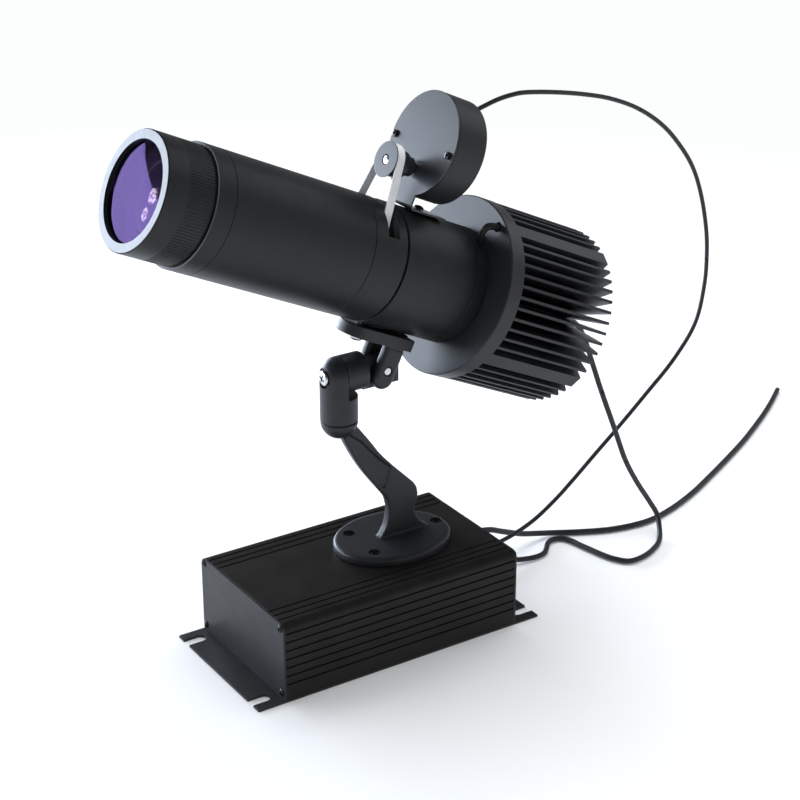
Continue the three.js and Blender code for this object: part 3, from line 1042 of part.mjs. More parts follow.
// Lamp housing: finned heat sink, light source, condenser, cable gland and the short wire to the collar
function lampHousing(group) {
  const discRear = sinkY + SINK_DISC_THICKNESS;
  const coreRear = discRear + SINK_CORE_LENGTH;
  const finRear = discRear + FIN_LENGTH;
  const wireHole = BRIDGE_RADIUS + FIT_GAP;
  const body = turned([
    [SINK_WIRE_BORE, sinkY], [SINK_RADIUS - EDGE_CHAMFER, sinkY], [SINK_RADIUS, sinkY + EDGE_CHAMFER],
    [SINK_RADIUS, discRear], [SINK_CORE_RADIUS, discRear], [SINK_CORE_RADIUS, coreRear],
    [SINK_WIRE_BORE, coreRear],
  ]);
  const fin = (thickness, degrees) => {
    const outer = Math.sqrt((SINK_RADIUS - FIN_INSET) ** 2 - (thickness / 2) ** 2);
    const inner = SINK_CORE_RADIUS - 2 * FIN_THICKNESS;
    return block(-thickness / 2, thickness / 2, discRear - CUT_OVERRUN, finRear, inner, outer)
      .rotateY(THREE.MathUtils.degToRad(degrees));
  };
  const fins = [];
  for (let i = 0; i < RIBS; i += 1) {
    const rib = FIRST_RIB_DEG + (i * 360) / RIBS;
    fins.push(fin(RIB_THICKNESS, rib));
    for (let j = 0; j < FINS_BETWEEN_RIBS; j += 1) {
      fins.push(fin(FIN_THICKNESS, rib + FIRST_FIN_DEG + j * FIN_PITCH_DEG));
    }
  }
  const hole = rod(wireHole, sinkY - CUT_OVERRUN, discRear - 2 * FIN_THICKNESS, FINE_SEGMENTS)
    .translate(0, 0, bridgeCircle)
    .rotateY(THREE.MathUtils.degToRad(BRIDGE_ANGLE_DEG));
  const whole = fins.reduce((sum, one) => sum.add(solid(one)), solid(body));
  add(group, "heat_sink", geometryOf(whole.subtract(solid(hole))), blackAnodised());

  const boardFront = sinkY - FIT_GAP - LED_BOARD_THICKNESS;
  add(group, "led_module", turned([
    [0, boardFront - LED_DOME_RADIUS / 2], [LED_DOME_RADIUS * Math.SQRT1_2, boardFront - LED_DOME_RADIUS / 3],
    [LED_DOME_RADIUS, boardFront], [LED_BOARD_RADIUS, boardFront], [LED_BOARD_RADIUS, sinkY - FIT_GAP],
    [0, sinkY - FIT_GAP],
  ], SWIVEL_SEGMENTS), finish(0xe8d890, 0.4, 0.1));

  const mountRear = sinkY - FIT_GAP;
  const mountFront = mountRear - CONDENSER_LENGTH;
  const mountRadius = collarBore - CONDENSER_MARGIN;
  const mountBore = mountRadius - CONDENSER_WALL;
  const lipBore = mountBore - CONDENSER_LIP;
  const lensRear = mountFront + CONDENSER_LIP + FIT_GAP + CONDENSER_EDGE;
  add(group, "condenser_mount", turned([
    [lipBore, mountFront], [mountRadius, mountFront], [mountRadius, mountRear],
    [mountBore, mountRear], [mountBore, mountFront + CONDENSER_LIP], [lipBore, mountFront + CONDENSER_LIP],
  ], SWIVEL_SEGMENTS), blackAnodised());
  add(group, "condenser_lens", turned(lensOutline(mountBore - FIT_GAP, lipBore - FIT_GAP,
    lensRear - CONDENSER_EDGE, lensRear, CONDENSER_CROWN, 0), SWIVEL_SEGMENTS), clearGlass());

  const nutFront = coreRear + FIT_GAP;
  const bootFront = nutFront + GLAND_NUT_LENGTH;
  const bootRear = bootFront + BOOT_LENGTH;
  add(group, "lamp_gland", turned([
    [0, nutFront - SPIGOT_OVERLAP], [SINK_WIRE_BORE - FIT_GAP, nutFront - SPIGOT_OVERLAP],
    [SINK_WIRE_BORE - FIT_GAP, nutFront], [GLAND_NUT_RADIUS, nutFront], [GLAND_NUT_RADIUS, bootFront],
    [BOOT_RADIUS, bootFront], [BOOT_TIP_RADIUS, bootRear], [0, bootRear],
  ], FINE_SEGMENTS), blackPlastic());

  // The wire rises out of the collar, arches forward of the disc and goes into it
  const footRadius = BARREL_RADIUS - REAR_WALL + FIT_GAP;
  const run = bridgeCircle - BARREL_RADIUS;
  const footY = sinkY - BRIDGE_FOOT_BACK;
  const arch = BRIDGE_SHARES.map(([along, up]) => [0, footY - up * BRIDGE_ARCH, BARREL_RADIUS + along * run]);
  const wire = tube([
    [0, footY, footRadius], [0, footY, BARREL_RADIUS], ...arch, [0, sinkY, bridgeCircle],
    [0, sinkY + BRIDGE_SINK, bridgeCircle],
  ], BRIDGE_RADIUS, BRIDGE_RADIUS);
  add(group, "bridge_wire", wire.rotateY(THREE.MathUtils.degToRad(BRIDGE_ANGLE_DEG)), blackPlastic());
}

// Routes of the three free leads, from their upper or outer end to the rear plate
const MAINS_ROUTE = [
  [-127.9, 468.6, 2.1], [-114.2, 449.9, 2.1], [-99.7, 428.5, 2.1], [-84.5, 404, 2.1], [-71.9, 382.8, 2.1],
  [-53, 347.3, 2.1], [-37.2, 316, 2.1], [-25.6, 291.7, 2.1], [-14.6, 262, 2.1], [-9.9, 238, 2.1],
  [-13.6, 211, 2.1], [-23.3, 188.5, 2.1], [-30.6, 174.3, 2.3], [-31.5, 160, 5.5], [-29.6, 147, 9.8],
  [-26.4, 134.5, 15.6], [-23.4, 124, 21], [-21, 114.5, 25.9], [-20, 108, 27.9], [-20, 104.1, 28.3],
];
const LAMP_LEAD_ROUTE = [
  [-2, 156.5, 170.75], [-2, 160.4, 168.6], [-2, 165.6, 162.9], [-2, 170.6, 153.7], [-2, 177.1, 137.1],
  [-1, 184.7, 116.1], [0, 197.2, 84.9], [0, 207.1, 61], [-1, 219.2, 40.7], [-1.8, 231.6, 22.9],
  [0.5, 237.5, 11.7], [6.5, 234.9, 5.1], [15.6, 227.4, 2.1], [23.2, 216.1, 2.1], [27.8, 203.6, 2.1],
  [27.7, 191.7, 2.1], [19.3, 185, 2.1], [9.1, 181.8, 2.1], [-0.2, 179.9, 2.1], [-7.6, 178.3, 2.1],
  [-15.4, 177.1, 2.1], [-21.5, 174.1, 2.1], [-23.9, 168.2, 2.1], [-21.7, 162.1, 2.1], [-17, 157.3, 2.1],
  [-12, 151.9, 2.1], [-10.3, 144.7, 2.1], [-11.8, 131.5, 3], [-15, 117, 6.2], [-16.6, 103, 10.4],
  [-17, 94, 12.2], [-17, 86.1, 12.5],
];
const MOTOR_LEAD_ROUTE = [
  [-4.4, 78.9, 315.95], [-4.4, 80.2, 315.42], [-4.4, 81.8, 315.08], [-4.4, 83.5, 315.17],
  [-4.3, 85.5, 315.7], [-3.9, 88.3, 316.75], [-3.1, 91.6, 318.1], [-2, 96, 319.86], [-0.6, 101.6, 321.56],
  [0.4, 107, 322.5], [1, 113.2, 322.9], [0, 134.4, 320], [-2, 162.8, 314],
  [-3, 184.4, 307.8], [-4, 206.7, 298.1], [-5, 227, 284.7], [-6, 241.9, 270.5], [-6, 255, 253.1],
  [-7, 265, 232.1], [-7, 271.8, 205.4], [-8, 274.5, 186], [-8, 274.2, 169.7], [-8, 268.5, 142.9],
  [-8, 252.3, 121], [-8, 226.9, 98.6], [-8, 206.1, 81.3], [-8, 187.1, 66.2], [-8, 169.8, 52.3],
  [-8, 155.9, 41.9], [-7.8, 137.4, 31.3], [-7, 117.3, 25.4], [-6.2, 100, 23.6], [-6, 86.1, 23.5],
];

function leads(group) {
  const cord = (name, route, radius) => {
    add(group, name, tube(route, radius, CORD_STEP_SHARE * radius), finish(0x222325, 0.6, 0));
  };
  cord("mains_lead", MAINS_ROUTE, MAINS_RADIUS);
  cord("lamp_lead", LAMP_LEAD_ROUTE, LAMP_LEAD_RADIUS);
  cord("motor_lead", MOTOR_LEAD_ROUTE, MOTOR_LEAD_RADIUS);
}

object.add(driverBox(), footArm(), swivelPost());
leads(object);

const elbowGroup = elbow();
object.add(elbowGroup);

const head = new THREE.Group();
head.position.set(0, PIN_REACH, 0);
head.rotation.x = -THREE.MathUtils.degToRad(HEAD_TILT_DEG);
elbowGroup.add(head);
saddle(head);

const barrel = new THREE.Group();
barrel.position.set(0, 0, BARREL_RISE);
head.add(barrel);
optics(barrel);
tubes(barrel);
goboDrive(barrel);
belt(barrel);
motor(barrel);
lampHousing(barrel);

export default object;
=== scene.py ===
"""Gobo projector: a lens barrel with a finned lamp housing and a belt-driven gobo wheel, on a swivel that
pans, rolls and tilts over a flat driver box, with its three free leads.

Metres, +Z up, the lens towards -Y at rest.
"""

import json
import logging
import math
from collections.abc import Callable, Sequence
from dataclasses import dataclass, field
from enum import Enum

import bmesh
import bpy
from mathutils import Matrix, Vector
from mathutils.geometry import interpolate_bezier

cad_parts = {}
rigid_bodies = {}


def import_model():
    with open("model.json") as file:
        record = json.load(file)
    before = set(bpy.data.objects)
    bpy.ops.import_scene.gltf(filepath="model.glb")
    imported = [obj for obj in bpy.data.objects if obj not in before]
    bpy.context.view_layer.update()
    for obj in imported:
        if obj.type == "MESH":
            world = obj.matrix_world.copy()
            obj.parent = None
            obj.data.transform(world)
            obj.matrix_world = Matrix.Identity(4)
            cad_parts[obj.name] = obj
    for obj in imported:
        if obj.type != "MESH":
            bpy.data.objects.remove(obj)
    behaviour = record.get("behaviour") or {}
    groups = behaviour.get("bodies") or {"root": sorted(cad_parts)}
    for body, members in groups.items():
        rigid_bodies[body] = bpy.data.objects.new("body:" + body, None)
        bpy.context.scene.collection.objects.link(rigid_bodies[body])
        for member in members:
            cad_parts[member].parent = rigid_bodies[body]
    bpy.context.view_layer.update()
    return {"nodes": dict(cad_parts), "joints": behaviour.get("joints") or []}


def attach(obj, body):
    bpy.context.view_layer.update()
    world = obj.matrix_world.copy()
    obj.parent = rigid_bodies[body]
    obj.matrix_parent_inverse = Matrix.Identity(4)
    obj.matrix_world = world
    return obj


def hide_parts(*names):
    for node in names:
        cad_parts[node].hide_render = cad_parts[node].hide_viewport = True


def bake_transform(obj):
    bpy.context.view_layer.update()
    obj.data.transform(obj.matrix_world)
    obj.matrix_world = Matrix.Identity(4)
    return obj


LOG = logging.getLogger("gobo_projector")
MILLIMETRE = 0.001
MERGE_DISTANCE = 1e-6
CLEAR = 0.0003  # Play between two pieces.
OVERRUN = 0.001  # How far a cutter reaches past what it cuts.
BARREL_STEPS = 120
STEM_STEPS = 72
CASTING_PASSES = 3
CASTING_CREASE = 40.0
SMALL_STEPS = 48
SCREW_STEPS = 32
HEX_SIDES = 6
TILT = math.radians(24.85)  # How far the barrel leans back at rest.
AXIS_RISE = 0.058  # The barrel's axis over the tilt pin.
NOISE_LOW, NOISE_HIGH = 0.3, 0.7  # Where nearly all of the noise lies.

Point = tuple[float, float]
Place = tuple[float, float, float]
Colour = tuple[float, float, float]


class Body(Enum):
    """Bodies that a piece can ride on."""

    ROOT = "root"
    POST = "post"
    ELBOW = "elbow"
    HEAD = "head"
    FOCUS = "focus"
    CELL = "cell"
    PULLEY = "pulley"


class Way(Enum):
    """Row axis along which an outline is drawn out."""

    X = 0
    Y = 1
    Z = 2

    def place(self, point: Point, along: float) -> Vector:
        """Puts an outline's point into space.

        Args:
            point: The outline's two coordinates, in the order of the two other axes.
            along: The coordinate on this axis.

        Returns:
            The point in space.
        """
        values = [point[0], point[1]]
        values.insert(self.value, along)
        return Vector(values)

    def direction(self) -> Vector:
        """Returns the unit vector of this axis."""
        return self.place((0.0, 0.0), 1.0)


class Grain(Enum):
    """What the surface of a finish looks like close up, as a stretch of its noise along X, Y and Z."""

    PEBBLED = (1.0, 1.0, 1.0)
    TURNED = (0.06, 1.0, 0.06)
    DRAWN = (1.0, 0.02, 1.0)
    BRUSHED = (0.04, 1.0, 1.0)


def fresh_material(name: str) -> tuple[bpy.types.Material, bpy.types.Nodes, bpy.types.NodeLinks]:
    """Starts a material made of nodes.

    Args:
        name: Its name.

    Returns:
        The material, its nodes and its links.
    """
    material = bpy.data.materials.new(name)
    material.use_nodes = True
    return material, material.node_tree.nodes, material.node_tree.links


def add_node(nodes: bpy.types.Nodes, kind: str,
             inputs: dict[str, float | tuple[float, ...]] | None = None) -> bpy.types.Node:
    """Adds a node and sets some of its inputs.

    Args:
        nodes: The nodes that it is added to.
        kind: Its type.
        inputs: Values by the name of the input.

    Returns:
        The node.
    """
    node = nodes.new(kind)
    for name, value in (inputs or {}).items():
        node.inputs[name].default_value = value
    return node


@dataclass(frozen=True)
class Finish:
    """A surface finish, made of noise on the piece's own coordinates.

    Attributes:
        name: Material name.
        slot: The record's material slot.
        colour: Mean colour, linear.
        roughness: Mean roughness.
        metallic: 0 for paint and plastic, 1 for bare metal.
        grain: Shape of the surface noise.
        grain_scale: Noise cells for each metre.
        relief: Depth of the bump, in metres.
        spread: How far colour and roughness vary, as a share.
        tilted: True where the noise follows the barrel's axis.
        specular: Specular level.
        detail: Octaves of the fine noise; the broad noise has one more.
        broad: How many fine cells fit across a broad one.
        strength: Share of the bump that shows.
    """

    name: str
    slot: str
    colour: Colour
    roughness: float
    metallic: float = 0.0
    grain: Grain = Grain.PEBBLED
    grain_scale: float = 1800.0
    relief: float = 0.00003
    spread: float = 0.18
    tilted: bool = False
    specular: float = 0.5
    detail: float = 3.0
    broad: float = 40.0
    strength: float = 0.6

    def material(self) -> bpy.types.Material:
        """Returns the finish's material, made once."""
        known = bpy.data.materials.get(self.name)
        if known:
            return known
        material, nodes, links = fresh_material(self.name)
        shader = nodes["Principled BSDF"]
        shader.inputs["Metallic"].default_value = self.metallic
        shader.inputs["Specular IOR Level"].default_value = self.specular

        spots = add_node(nodes, "ShaderNodeTexCoord")
        turn = add_node(nodes, "ShaderNodeMapping", {"Rotation": (TILT if self.tilted else 0.0, 0.0, 0.0)})
        stretch = add_node(nodes, "ShaderNodeMapping", {"Scale": self.grain.value})
        links.new(spots.outputs["Object"], turn.inputs["Vector"])
        links.new(turn.outputs["Vector"], stretch.inputs["Vector"])

        fine = add_node(nodes, "ShaderNodeTexNoise", {"Scale": self.grain_scale, "Detail": self.detail})
        links.new(stretch.outputs["Vector"], fine.inputs["Vector"])
        broad = add_node(nodes, "ShaderNodeTexNoise", {
            "Scale": self.grain_scale / self.broad,
            "Detail": self.detail + 1.0,
        })
        links.new(turn.outputs["Vector"], broad.inputs["Vector"])

        tone = add_node(nodes, "ShaderNodeValToRGB")
        low, high = tone.color_ramp.elements
        low.position, high.position = NOISE_LOW, NOISE_HIGH
        low.color = (*(c * (1.0 - self.spread) for c in self.colour), 1.0)
        high.color = (*(min(1.0, c * (1.0 + self.spread)) for c in self.colour), 1.0)
        links.new(broad.outputs["Fac"], tone.inputs["Fac"])
        links.new(tone.outputs["Color"], shader.inputs["Base Color"])

        gloss = add_node(nodes, "ShaderNodeMapRange", {
            "From Min": NOISE_LOW,
            "From Max": NOISE_HIGH,
            "To Min": self.roughness * (1.0 - self.spread),
            "To Max": min(1.0, self.roughness * (1.0 + self.spread)),
        })
        links.new(fine.outputs["Fac"], gloss.inputs["Value"])
        links.new(gloss.outputs["Result"], shader.inputs["Roughness"])

        bump = add_node(nodes, "ShaderNodeBump", {"Distance": self.relief, "Strength": self.strength})
        links.new(fine.outputs["Fac"], bump.inputs["Height"])
        links.new(bump.outputs["Normal"], shader.inputs["Normal"])
        return material


@dataclass(frozen=True)
class Glass:
    """Polished glass: a tinted mirror over a clear tinted body, which can also give off a painted glint.

    Attributes:
        name: Material name.
        slot: The record's material slot.
        body: Tint of what shows through it, linear.
        coating: Colour of what it mirrors.
        mirror: Share of the light that it mirrors.
        facets: Mirroring facets for each metre, or none where it is all one mirror.
        painted_glow: Strength of the painted glint that the mirror gives off as light, though the glass is no
            lamp.
        haze: Roughness of the mirror.
        patches: Noise cells for each metre.
        dulled: How strong the coating is in its weakest patches, as a share.
    """

    name: str
    slot: str
    body: Colour
    coating: Colour
    mirror: float
    facets: float = 0.0
    painted_glow: float = 0.0
    haze: float = 0.05
    patches: float = 60.0
    dulled: float = 0.94

    def material(self) -> bpy.types.Material:
        """Returns the glass's material, made once."""
        known = bpy.data.materials.get(self.name)
        if known:
            return known
        material, nodes, links = fresh_material(self.name)
        shader = nodes["Principled BSDF"]
        shader.inputs["Metallic"].default_value = 1.0
        shader.inputs["Roughness"].default_value = self.haze
        spots = add_node(nodes, "ShaderNodeTexCoord")
        dust = add_node(nodes, "ShaderNodeTexNoise", {"Scale": self.patches})
        links.new(spots.outputs["Object"], dust.inputs["Vector"])
        tone = add_node(nodes, "ShaderNodeValToRGB")
        low, high = tone.color_ramp.elements
        low.color = (*(c * self.dulled for c in self.coating), 1.0)
        high.color = (*self.coating, 1.0)
        links.new(dust.outputs["Fac"], tone.inputs["Fac"])
        links.new(tone.outputs["Color"], shader.inputs["Base Color"])
        # Painted glint: the coating's colour is also given off as light, as strong as the glint strength.
        links.new(tone.outputs["Color"], shader.inputs["Emission Color"])
        shader.inputs["Emission Strength"].default_value = self.painted_glow
        body = add_node(nodes, "ShaderNodeBsdfTransparent", {"Color": (*self.body, 1.0)})
        mix = add_node(nodes, "ShaderNodeMixShader", {"Fac": self.mirror})
        if self.facets > 0.0:
            cells = add_node(nodes, "ShaderNodeTexVoronoi", {"Scale": self.facets})
            links.new(spots.outputs["Object"], cells.inputs["Vector"])
            split = add_node(nodes, "ShaderNodeSeparateColor")
            links.new(cells.outputs["Color"], split.inputs["Color"])
            share = add_node(nodes, "ShaderNodeMath")
            share.operation = "MULTIPLY"
            share.inputs[1].default_value = self.mirror
            links.new(split.outputs["Red"], share.inputs[0])
            links.new(share.outputs["Value"], mix.inputs["Fac"])
        links.new(body.outputs["BSDF"], mix.inputs[1])
        links.new(shader.outputs["BSDF"], mix.inputs[2])
        links.new(mix.outputs["Shader"], nodes["Material Output"].inputs["Surface"])
        return material


TUBE_BLACK = Finish("tube_black", "black_anodised", (0.0115, 0.0125, 0.0135), 0.42, grain=Grain.TURNED,
                    grain_scale=2600.0, relief=0.00001, spread=0.14, tilted=True, specular=0.42)
MATT_BLACK = Finish("matt_black", "black_anodised", (0.008, 0.007, 0.010), 0.85, spread=0.1, tilted=True,
                    specular=0.05)
SINK_BLACK = Finish("sink_black", "black_anodised", (0.020, 0.0215, 0.025), 0.38, grain_scale=2200.0,
                    relief=0.00001, spread=0.16, tilted=True)
FACE_BLACK = Finish("face_black", "black_anodised", (0.022, 0.024, 0.029), 0.3, grain_scale=2200.0,
                    relief=0.00001, spread=0.1, tilted=True, specular=0.62)
CASE_BLACK = Finish("case_black", "black_anodised", (0.0150, 0.0135, 0.0125), 0.36, grain=Grain.DRAWN,
                    grain_scale=2400.0, relief=0.00002, spread=0.2, specular=0.2)
PLATE_BLACK = Finish("plate_black", "black_anodised", (0.016, 0.016, 0.018), 0.4, grain=Grain.BRUSHED,
                     grain_scale=2200.0, relief=0.00001, spread=0.2, specular=0.42)
# Painted highlight: the narrow chamfers of the barrel rings are painted pale for the light that they catch.
LIP_HIGHLIGHT = Finish("lip_painted_highlight", "black_anodised", (0.10, 0.105, 0.12), 0.34, grain=Grain.TURNED,
                  grain_scale=3000.0, relief=0.00001, spread=0.08, tilted=True, specular=1.0)
CAST_BLACK = Finish("cast_paint", "cast_black", (0.0175, 0.019, 0.0225), 0.42, grain_scale=2600.0,
                    relief=0.00002, spread=0.16)
CAN_BLACK = Finish("can_black", "black_steel", (0.017, 0.0185, 0.020), 0.45, grain_scale=2600.0,
                   relief=0.00003, spread=0.16, tilted=True)
SHEET_BLACK = Finish("sheet_black", "black_steel", (0.013, 0.013, 0.0135), 0.42, grain_scale=2400.0,
                     relief=0.00003, spread=0.2)
SCREW_BLACK = Finish("screw_black", "black_steel", (0.010, 0.010, 0.011), 0.32, metallic=0.4,
                     grain_scale=5000.0, relief=0.00001, spread=0.2)
BRIGHT_STEEL = Finish("polished_steel", "bright_steel", (0.74, 0.74, 0.75), 0.2, metallic=1.0,
                      grain=Grain.TURNED, grain_scale=5000.0, relief=0.00001, spread=0.12)
MOULDED_BLACK = Finish("moulded_black", "black_plastic", (0.0105, 0.0105, 0.0115), 0.55,
                       grain_scale=3200.0, relief=0.00003, spread=0.12)
SHEATH_BLACK = Finish("sheath_black", "cable_sheath", (0.020, 0.0205, 0.022), 0.5, grain_scale=3600.0,
                      relief=0.00004, spread=0.14)
BELT_WHITE = Finish("belt_white", "white_rubber", (0.86, 0.87, 0.88), 0.55, grain_scale=3600.0,
                    relief=0.00004, spread=0.06)
BOARD_GREEN = Finish("board_lacquer", "board_green", (0.014, 0.105, 0.034), 0.5, grain_scale=900.0)
WINDING = Finish("winding", "transformer", (0.45, 0.26, 0.06), 0.45, metallic=0.5, grain=Grain.BRUSHED)
SLEEVE_BLUE = Finish("sleeve_blue", "capacitor", (0.017, 0.033, 0.078), 0.35, grain_scale=900.0)
EMITTER = Finish("emitter", "led_board", (0.80, 0.68, 0.28), 0.4, grain_scale=1500.0)
COIL = Finish("coil", "motor_core", (0.32, 0.14, 0.04), 0.45, metallic=0.6, grain=Grain.TURNED, tilted=True)
COATED_GLASS = Glass("coated_lens", "coated_glass", (0.80, 0.74, 0.86), (0.56, 0.36, 1.0), 0.062)
BARE_GLASS = Glass("lens_back", "coated_glass", (0.92, 0.90, 0.95), (0.8, 0.7, 1.0), 0.004)
INNER_GLASS = Glass("inner_lens_glass", "clear_glass", (0.70, 0.62, 0.78), (0.95, 0.72, 0.9), 0.006)
# Painted glints: sparkling facets on the inner lens that give off light, standing in for light glinting off
# it.
FACET_GLINT_GLASS = Glass("faceted_painted_glint", "clear_glass", (0.70, 0.62, 0.78), (1.0, 0.86, 0.9), 0.2, facets=900.0,
                    painted_glow=6.5)
# Painted highlight: a thin pale ring round the inner lens's bulge that gives off light.
RIM_GLINT_GLASS = Glass("rim_painted_glint", "clear_glass", (0.70, 0.62, 0.78), (1.0, 0.78, 0.95), 0.08, painted_glow=2.6)
CLEAR_GLASS = Glass("condenser_glass", "clear_glass", (0.86, 0.90, 0.95), (1.0, 1.0, 1.0), 0.04)

Dressing = Finish | Glass


def shown(name: str, data: bpy.types.ID) -> bpy.types.Object:
    """Puts an object with some data into the scene.

    Args:
        name: The object's name.
        data: Its mesh, curve, camera or lamp.

    Returns:
        The object.
    """
    made = bpy.data.objects.new(name, data)
    bpy.context.scene.collection.objects.link(made)
    return made


def dropped(made: bpy.types.Object) -> None:
    """Takes a passing object and its mesh or curve away again."""
    data = made.data
    bpy.data.objects.remove(made)
    bpy.data.batch_remove([data])


class Form:
    """A mesh in the making, shaped by bmesh operators."""

    def __init__(self) -> None:
        """Starts empty."""
        self.bm = bmesh.new()

    @classmethod
    def turned(cls, profile: Sequence[Point], steps: int = BARREL_STEPS, ring: bool = False) -> "Form":
        """Spins a profile about the Y axis.

        Args:
            profile: Points of (radius, y), in order along the profile.
            steps: Number of steps round the axis.
            ring: True where the profile closes on itself clear of the axis.

        Returns:
            The turned form, with its faces pointing out.
        """
        form = cls()
        verts = [form.bm.verts.new((radius, along, 0.0)) for radius, along in profile]
        pairs = list(zip(verts, verts[1:]))
        if ring:
            pairs.append((verts[-1], verts[0]))
        edges = [form.bm.edges.new(pair) for pair in pairs]
        bmesh.ops.spin(form.bm, geom=[*verts, *edges], cent=(0.0, 0.0, 0.0), axis=(0.0, 1.0, 0.0),
                       angle=math.tau, steps=steps, use_merge=True)
        return form.tidied()

    @classmethod
    def tube(cls, inner: float, outer: float, start: float, end: float, steps: int = BARREL_STEPS) -> "Form":
        """A plain tube about the Y axis.

        Args:
            inner: Bore radius.
            outer: Outer radius.
            start: Front end on Y.
            end: Rear end on Y.
            steps: Number of steps round the axis.

        Returns:
            The tube.
        """
        profile = [(inner, start), (outer, start), (outer, end), (inner, end)]
        return cls.turned(profile, steps, ring=True)

    @classmethod
    def rod(cls, radius: float, start: float, end: float, steps: int = SMALL_STEPS) -> "Form":
        """A solid rod about the Y axis.

        Args:
            radius: Its radius.
            start: Front end on Y.
            end: Rear end on Y.
            steps: Number of steps round the axis.

        Returns:
            The rod.
        """
        return cls.turned([(0.0, start), (radius, start), (radius, end), (0.0, end)], steps)

    @classmethod
    def drawn(cls, outline: Sequence[Point], way: Way, start: float, end: float) -> "Form":
        """Draws a closed outline out along a row axis.

        Args:
            outline: The outline's points.
            way: The axis to draw along.
            start: Where it begins on that axis.
            end: Where it ends.

        Returns:
            The drawn solid.
        """
        form = cls()
        verts = [form.bm.verts.new(way.place(point, start)) for point in outline]
        face = form.bm.faces.new(verts)
        grown = bmesh.ops.extrude_face_region(form.bm, geom=[face])["geom"]
        moved = [part for part in grown if isinstance(part, bmesh.types.BMVert)]
        bmesh.ops.translate(form.bm, vec=way.direction() * (end - start), verts=moved)
        return form.tidied()

    @classmethod
    def block(cls, low: Place, high: Place) -> "Form":
        """A box between two corners.

        Args:
            low: Its lowest corner.
            high: Its highest corner.

        Returns:
            The box.
        """
        form = cls()
        bmesh.ops.create_cube(form.bm, size=1.0)
        size = Vector(high) - Vector(low)
        bmesh.ops.scale(form.bm, vec=size, verts=form.bm.verts)
        bmesh.ops.translate(form.bm, vec=(Vector(high) + Vector(low)) / 2.0, verts=form.bm.verts)
        return form

    def tidied(self) -> "Form":
        """Merges doubled points and points every face out."""
        bmesh.ops.remove_doubles(self.bm, verts=self.bm.verts, dist=MERGE_DISTANCE)
        bmesh.ops.recalc_face_normals(self.bm, faces=self.bm.faces)
        return self

    def softened(self, width: float, segments: int = 2, angle: float = 30.0) -> "Form":
        """Rounds the edges that are sharper than an angle.

        Args:
            width: Width of the rounding.
            segments: Faces across it.
            angle: The least angle of an edge that is rounded, in degrees.

        Returns:
            This form.
        """
        limit = math.radians(angle)
        sharp = [edge for edge in self.bm.edges if edge.is_manifold and edge.calc_face_angle() > limit]
        bmesh.ops.bevel(self.bm, geom=sharp, offset=width, offset_type="OFFSET", segments=segments,
                        profile=0.5, affect="EDGES", material=-1, clamp_overlap=True)
        return self

    def moved(self, matrix: Matrix) -> "Form":
        """Moves the whole form by a matrix."""
        bmesh.ops.transform(self.bm, matrix=matrix, verts=self.bm.verts)
        return self

    def shifted(self, x: float = 0.0, y: float = 0.0, z: float = 0.0) -> "Form":
        """Shifts the whole form."""
        return self.moved(Matrix.Translation((x, y, z)))

    def copy(self) -> "Form":
        """Returns a copy of the form."""
        twin = Form()
        twin.bm = self.bm.copy()
        return twin

    def joined(self, *others: "Form") -> "Form":
        """Adds other forms' meshes to this one, without cutting."""
        for other in others:
            mesh = bpy.data.meshes.new("joined")
            other.bm.to_mesh(mesh)
            self.bm.from_mesh(mesh)
            bpy.data.meshes.remove(mesh)
        return self

    def scratch(self, name: str) -> bpy.types.Object:
        """Returns a passing object with this form's mesh."""
        mesh = bpy.data.meshes.new(name)
        self.bm.to_mesh(mesh)
        return shown(name, mesh)

    def modified(self, prepare: Callable[[bpy.types.Object], None]) -> "Form":
        """Runs modifiers on the form and takes their result.

        Args:
            prepare: Adds the modifiers to the object that it is given.

        Returns:
            This form, with the result as its mesh.
        """
        body = self.scratch("body")
        prepare(body)
        graph = bpy.context.evaluated_depsgraph_get()
        result = bpy.data.meshes.new_from_object(body.evaluated_get(graph))
        self.bm.clear()
        self.bm.from_mesh(result)
        bpy.data.meshes.remove(result)
        dropped(body)
        return self

    def combined(self, operation: str, others: Sequence["Form"]) -> "Form":
        """Joins or cuts with other forms.

        Args:
            operation: UNION or DIFFERENCE.
            others: The forms to join or cut with.

        Returns:
            This form.
        """
        tools = [other.scratch("tool") for other in others]

        def prepare(body: bpy.types.Object) -> None:
            for tool in tools:
                modifier = body.modifiers.new("combine", "BOOLEAN")
                modifier.operation = operation
                modifier.solver = "EXACT"
                modifier.object = tool

        self.modified(prepare)
        for tool in tools:
            dropped(tool)
        return self

    def carved(self, *cutters: "Form") -> "Form":
        """Cuts other forms out of this one."""
        return self.combined("DIFFERENCE", cutters)

    def fused(self, *others: "Form") -> "Form":
        """Joins other forms into one skin with this one."""
        return self.combined("UNION", others)

    def cast(self, voxel: float, passes: int) -> "Form":
        """Makes one skin with the soft edges and fillets of a casting.

        Args:
            voxel: Grid size of the new skin.
            passes: How often it is smoothed.

        Returns:
            This form.
        """

        def prepare(body: bpy.types.Object) -> None:
            skin = body.modifiers.new("skin", "REMESH")
            skin.mode = "VOXEL"
            skin.voxel_size = voxel
            smooth = body.modifiers.new("smooth", "SMOOTH")
            smooth.iterations = passes

        return self.modified(prepare)

    def dabbed(self, index: int, wanted: Callable[[bmesh.types.BMFace], bool]) -> "Form":
        """Gives some faces another of the piece's finishes.

        Args:
            index: Which finish.
            wanted: Says whether a face takes it.

        Returns:
            This form.
        """
        for face in self.bm.faces:
            if wanted(face):
                face.material_index = index
        return self

    def piece(self, name: str, finishes: Sequence[Dressing]) -> bpy.types.Object:
        """Makes the form a smoothly shaded piece in the scene.

        Args:
            name: The piece's name.
            finishes: Its finishes, in the order of its faces' numbers.

        Returns:
            The piece.
        """
        piece = self.scratch(name)
        self.bm.free()
        piece.data.shade_smooth()
        for finish in finishes:
            piece.data.materials.append(finish.material())
        return piece


